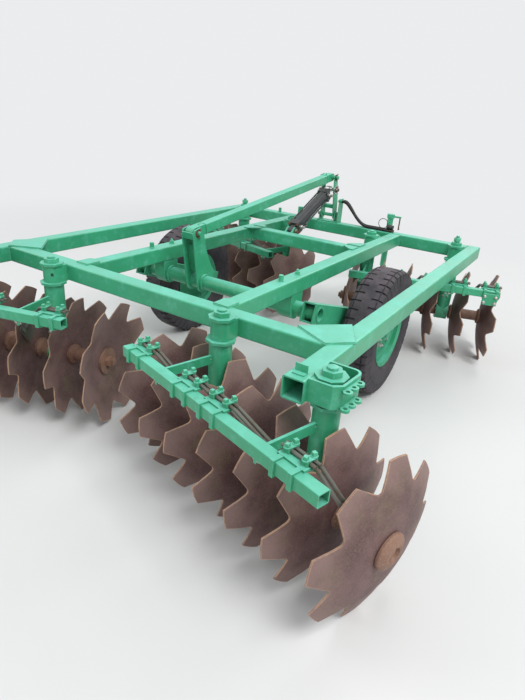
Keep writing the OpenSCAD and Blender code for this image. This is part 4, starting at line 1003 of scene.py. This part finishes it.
def make_cylinder_fittings():
    """Nuts on the tie rods, the rod's gland, ports on both caps and a steel pipe along the barrel."""
    run = cylinder_run()
    degrees = math.degrees(math.atan2(run.z, run.y))
    place = leaning(joints["cylinder_tilt"]["pos_m"], degrees)
    barrel_end = run.length - ROD_SHORT
    nuts = bmesh.new()
    for x in (-TIE_OUT, TIE_OUT):
        for z in (-TIE_OUT, TIE_OUT):
            for y, way in ((CAP_START, 1), (barrel_end, -1)):
                at = place @ shift(x, y, z) @ spin(way * math.pi / 2, "X")
                add_bolt(nuts, at, 0.016, 0.010, stud=0.005)
    new_piece("tie_rod_nuts", nuts, "rusty_pin", "cylinder")
    gland = bmesh.new()
    at = place @ shift(0, barrel_end, 0) @ spin(-math.pi / 2, "X")
    add_lathe(gland, GLAND, at, 32)
    new_piece("rod_gland", gland, "cylinder_paint", "cylinder")
    ports = bmesh.new()
    near = CAP_START + CAP_LEN / 2
    far = barrel_end - CAP_LEN / 2
    # On the cylinder's side, clear of the link bar above it
    place = place @ spin(math.pi / 2, "Y")
    for y in (near, far):
        at = place @ shift(0, y, CAP_HALF)
        add_bolt(ports, at, 0.026, 0.014, washer=False)
        add_knob(ports, PORT, at, 16)
    new_piece("cylinder_ports", ports, "zinc", "cylinder")
    pipe = bmesh.new()
    route = [Vector(at) for at in (
        (0, near, CAP_HALF + 0.030), (0, near + 0.012, CAP_HALF + 0.036),
        (0.004, near + 0.040, CAP_HALF + 0.030), (0.012, near + 0.075, BARREL_R + 0.012),
        (0.016, near + 0.200, BARREL_R + 0.011), (0.016, far - 0.100, BARREL_R + 0.011),
        (0.017, far - 0.075, BARREL_R + 0.013), (0.018, far - 0.056, BARREL_R + 0.017))]
    add_tube(pipe, [place @ at for at in smooth_route(route)], PIPE_R, 10)
    onward = place.to_3x3() @ Vector((0.05, 1, 0.1))
    add_bolt(pipe, frame_at(place @ route[-1], onward), 0.019, 0.016, washer=False)
    new_piece("cylinder_pipe", pipe, "cylinder_paint", "cylinder")


def make_link_welds():
    """Beads where the link bar's solid ends meet its tube, and grease nipples at its eyes."""
    lever_pin = lever_frame() @ Vector((0, 0, LEVER_LEN))
    rocker_pin = rocker_frame() @ Vector((0, 0, LEVER_LEN))
    along = (lever_pin - rocker_pin).normalized()
    across = along.cross(Vector((0, 0, 1))).normalized()
    up = across.cross(along)
    mesh = bmesh.new()
    half = LINK_HALF
    cut = LINK_HALF - LINK_CUT
    outline = ((-half, -cut), (-half, cut), (-cut, half), (cut, half), (half, cut), (half, -cut),
               (cut, -half), (-cut, -half), (-half, -cut))
    for near, way in ((rocker_pin, 1), (lever_pin, -1)):
        at = near + along * LINK_TUBE_AT * way
        add_weld(mesh, [at + across * x + up * z for x, z in outline], 0.0035)
        nipple = frame_at(near + along * LINK_NIPPLE_AT * way + up * LINK_EYE_HALF, up)
        add_bolt(mesh, nipple, 0.010, 0.005, washer=False)
        add_knob(mesh, LINK_NIPPLE, nipple, 10)
    new_piece("link_bar_welds", mesh, "green_paint", "link")


make_pins()
make_cylinder_fittings()
make_link_welds()


# Couplings, drawbar and jack

DUST_CAP = [(0.0125, 0), (0.0150, 0.003), (0.0150, 0.030), (0.0130, 0.033), (0.0130, 0.050), (0.0105, 0.052)]
DUST_CAP_AHEAD = 0.044
DUST_CAP_UP = 0.0156
RING_R = 0.038
RING_WIRE_R = 0.0026
SLEEVE = [(0.0104, 0.037), (0.0112, 0.039), (0.0112, 0.052), (0.0098, 0.054), (0.0098, 0.058),
          (0.0112, 0.060), (0.0112, 0.084), (0.0100, 0.0865)]
NOSE = [(0.0080, 0.086), (0.0080, 0.100), (0.0066, 0.1035)]
RIB_PITCH = 0.0054
# The drawbar's hinges: their place across, half their length, and their pins
HINGE_X = 0.430
HINGE_HALF = 0.054
HINGE_PIN_R = 0.016
HINGE_PIN_OUT = 0.016
CRANK_R = 0.0068
GRIP = [(0.009, -0.004), (0.011, 0.0), (0.011, 0.006), (0.009, 0.009)]


def make_dust_cap(name):
    """A coupling's dust cap, parked on top of its sleeve, and the rear one's wire ring."""
    end = hose_route(name)[-1]
    mesh = bmesh.new()
    cap = frame_at(end + Vector((DUST_CAP_AHEAD, 0, HOSE_R + DUST_CAP_UP)), (1, 0, 0))
    add_knob(mesh, DUST_CAP, cap, 24)
    if name == "hose_rear":
        centre = end + Vector((0.006, 0, HOSE_R + 0.002 + RING_R))
        turns = [2 * math.pi * k / 40 for k in range(41)]
        ring = [centre + Vector((RING_R * math.sin(t), 0, -RING_R * math.cos(t))) for t in turns]
        add_tube(mesh, ring, RING_WIRE_R, 8)
    return new_piece(name.replace("hose", "dust_cap"), mesh, "coupling", "root")


def make_coupling(name):
    """Ribbed ferrule, nut, sleeve and nose on a hose's end, and its dust cap."""
    mesh = bmesh.new()
    at = frame_at(hose_route(name)[-1], (1, 0, 0))
    ferrule = [(0.0095, -0.004)]
    for k in range(5):
        start = RIB_PITCH * k
        ferrule += [(0.0112, 0.001 + start), (0.0112, 0.0040 + start), (0.0103, 0.0048 + start)]
    add_knob(mesh, ferrule + [(0.0085, 0.030)], at, 24)
    add_bolt(mesh, at @ shift(0, 0, 0.029), 0.0190, 0.008, washer=False)
    add_knob(mesh, SLEEVE, at, 28)
    add_knob(mesh, NOSE, at, 20)
    coupling = new_piece(name.replace("hose", "coupling"), mesh, "coupling", "root")
    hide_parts("couplings")
    make_dust_cap(name)


def make_drawbar_fittings():
    """Washers and split pins at the hinges, and the jack's crank with its grip."""
    mesh = bmesh.new()
    swing = joints["drawbar_swing"]["pos_m"]
    bore = HINGE_PIN_R + 0.0005
    pin = [(HINGE_PIN_R, 0), (HINGE_PIN_R, HINGE_PIN_OUT - 0.003), (HINGE_PIN_R - 0.0015, HINGE_PIN_OUT)]
    for side in (1, -1):
        for way in (1, -1):
            at = (side * HINGE_X + way * (HINGE_HALF + PIN_PLAY), swing[1], swing[2])
            turn = frame_at(at, (way, 0, 0))
            add_lathe(mesh, [(bore, 0), (0.028, 0), (0.028, 0.003), (bore, 0.003)], turn, 24)
            cotter = turn @ shift(0, 0, 0.008) @ spin(0.7, "Z")
            add_cotter(mesh, cotter, HINGE_PIN_R)
            add_knob(mesh, pin, turn, 24)
    new_piece("drawbar_pin_ends", mesh, "rusty_pin", "root")
    low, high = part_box("jack_tube")
    crank = bmesh.new()
    y = (low.y + high.y) / 2
    z = high.z - 0.020
    arm = ((0.070, 0), (0.092, 0), (0.098, -0.006), (0.100, -0.015), (0.100, -0.120), (0.101, -0.128))
    add_tube(crank, [Vector((x, y, z + dz)) for x, dz in arm], CRANK_R, 12)
    add_knob(crank, GRIP, frame_at((0.100, y, z - 0.116), (1, 0, 0)), 18)
    new_piece("jack_crank", crank, "rusty_pin", "drawbar")


for name in HOSE_POINTS:
    make_coupling(name)
make_drawbar_fittings()


# Stage

BACKDROP = (0.83, 0.84, 0.85)


def fade_to_backdrop(s):
    """Far from the object the floor shows the backdrop's colour, so that the two meet without a line."""
    glow = s.nodes.new("ShaderNodeEmission")
    glow.inputs["Color"].default_value = (*BACKDROP, 1)
    rays = s.nodes.new("ShaderNodeLightPath")
    far = s.step(s.vector("LENGTH", s.place, out="Value"), 2.2, 7.5)
    seen = s.math("MAXIMUM", rays.outputs["Is Camera Ray"], rays.outputs["Is Glossy Ray"])
    share = s.math("MULTIPLY", far, seen)
    both = s.nodes.new("ShaderNodeMixShader")
    s.set(both.inputs[0], share)
    s.links.new(s.surface.outputs[0], both.inputs[1])
    s.links.new(glow.outputs[0], both.inputs[2])
    s.links.new(both.outputs[0], s.nodes["Material Output"].inputs["Surface"])


def make_stage():
    """A pale floor, the same pale backdrop, soft light from the sky and three large lamps."""
    bpy.ops.mesh.primitive_plane_add(size=60, location=(0, 0, 0))
    floor = bpy.context.object
    floor.name = "floor"
    s = Shader("floor", roughness=0.9, specular=0.1)
    tone = s.mix(s.noise(0.8, detail=3), (0.70, 0.70, 0.69), (0.74, 0.74, 0.73))
    floor.data.materials.append(s.finish(tone, None, s.bump(s.noise(40), 0.001, 0.1)))
    fade_to_backdrop(s)

    world = bpy.data.worlds.new("studio")
    bpy.context.scene.world = world
    world.use_nodes = True
    tree = world.node_tree
    light = tree.nodes["Background"]
    light.inputs["Color"].default_value = (0.93, 0.96, 1.0, 1)
    light.inputs["Strength"].default_value = 0.56
    shown = tree.nodes.new("ShaderNodeBackground")
    shown.inputs["Color"].default_value = (*BACKDROP, 1)
    rays = tree.nodes.new("ShaderNodeLightPath")
    seen = tree.nodes.new("ShaderNodeMath")
    seen.operation = "MAXIMUM"
    tree.links.new(rays.outputs["Is Camera Ray"], seen.inputs[0])
    tree.links.new(rays.outputs["Is Glossy Ray"], seen.inputs[1])
    both = tree.nodes.new("ShaderNodeMixShader")
    tree.links.new(seen.outputs[0], both.inputs[0])
    tree.links.new(light.outputs[0], both.inputs[1])
    tree.links.new(shown.outputs[0], both.inputs[2])
    tree.links.new(both.outputs[0], tree.nodes["World Output"].inputs["Surface"])

    lamps = (("key", (5.0, -3.0, 7.5), 4.0, 500), ("fill", (-6.0, -4.0, 5.0), 5.0, 190),
             ("back", (1.0, 7.0, 6.5), 5.0, 240))
    for name, at, size, power in lamps:
        lamp = bpy.data.objects.new(name, bpy.data.lights.new(name, "AREA"))
        lamp.data.size = size
        lamp.data.energy = power
        lamp.location = at
        lamp.rotation_euler = (Vector((0, 0, 0.4)) - Vector(at)).to_track_quat("-Z", "Y").to_euler()
        bpy.context.collection.objects.link(lamp)


make_stage()

bpy.context.scene.view_settings.view_transform = "Standard"


def corners(box):
    return [list(box[0]), list(box[1])]
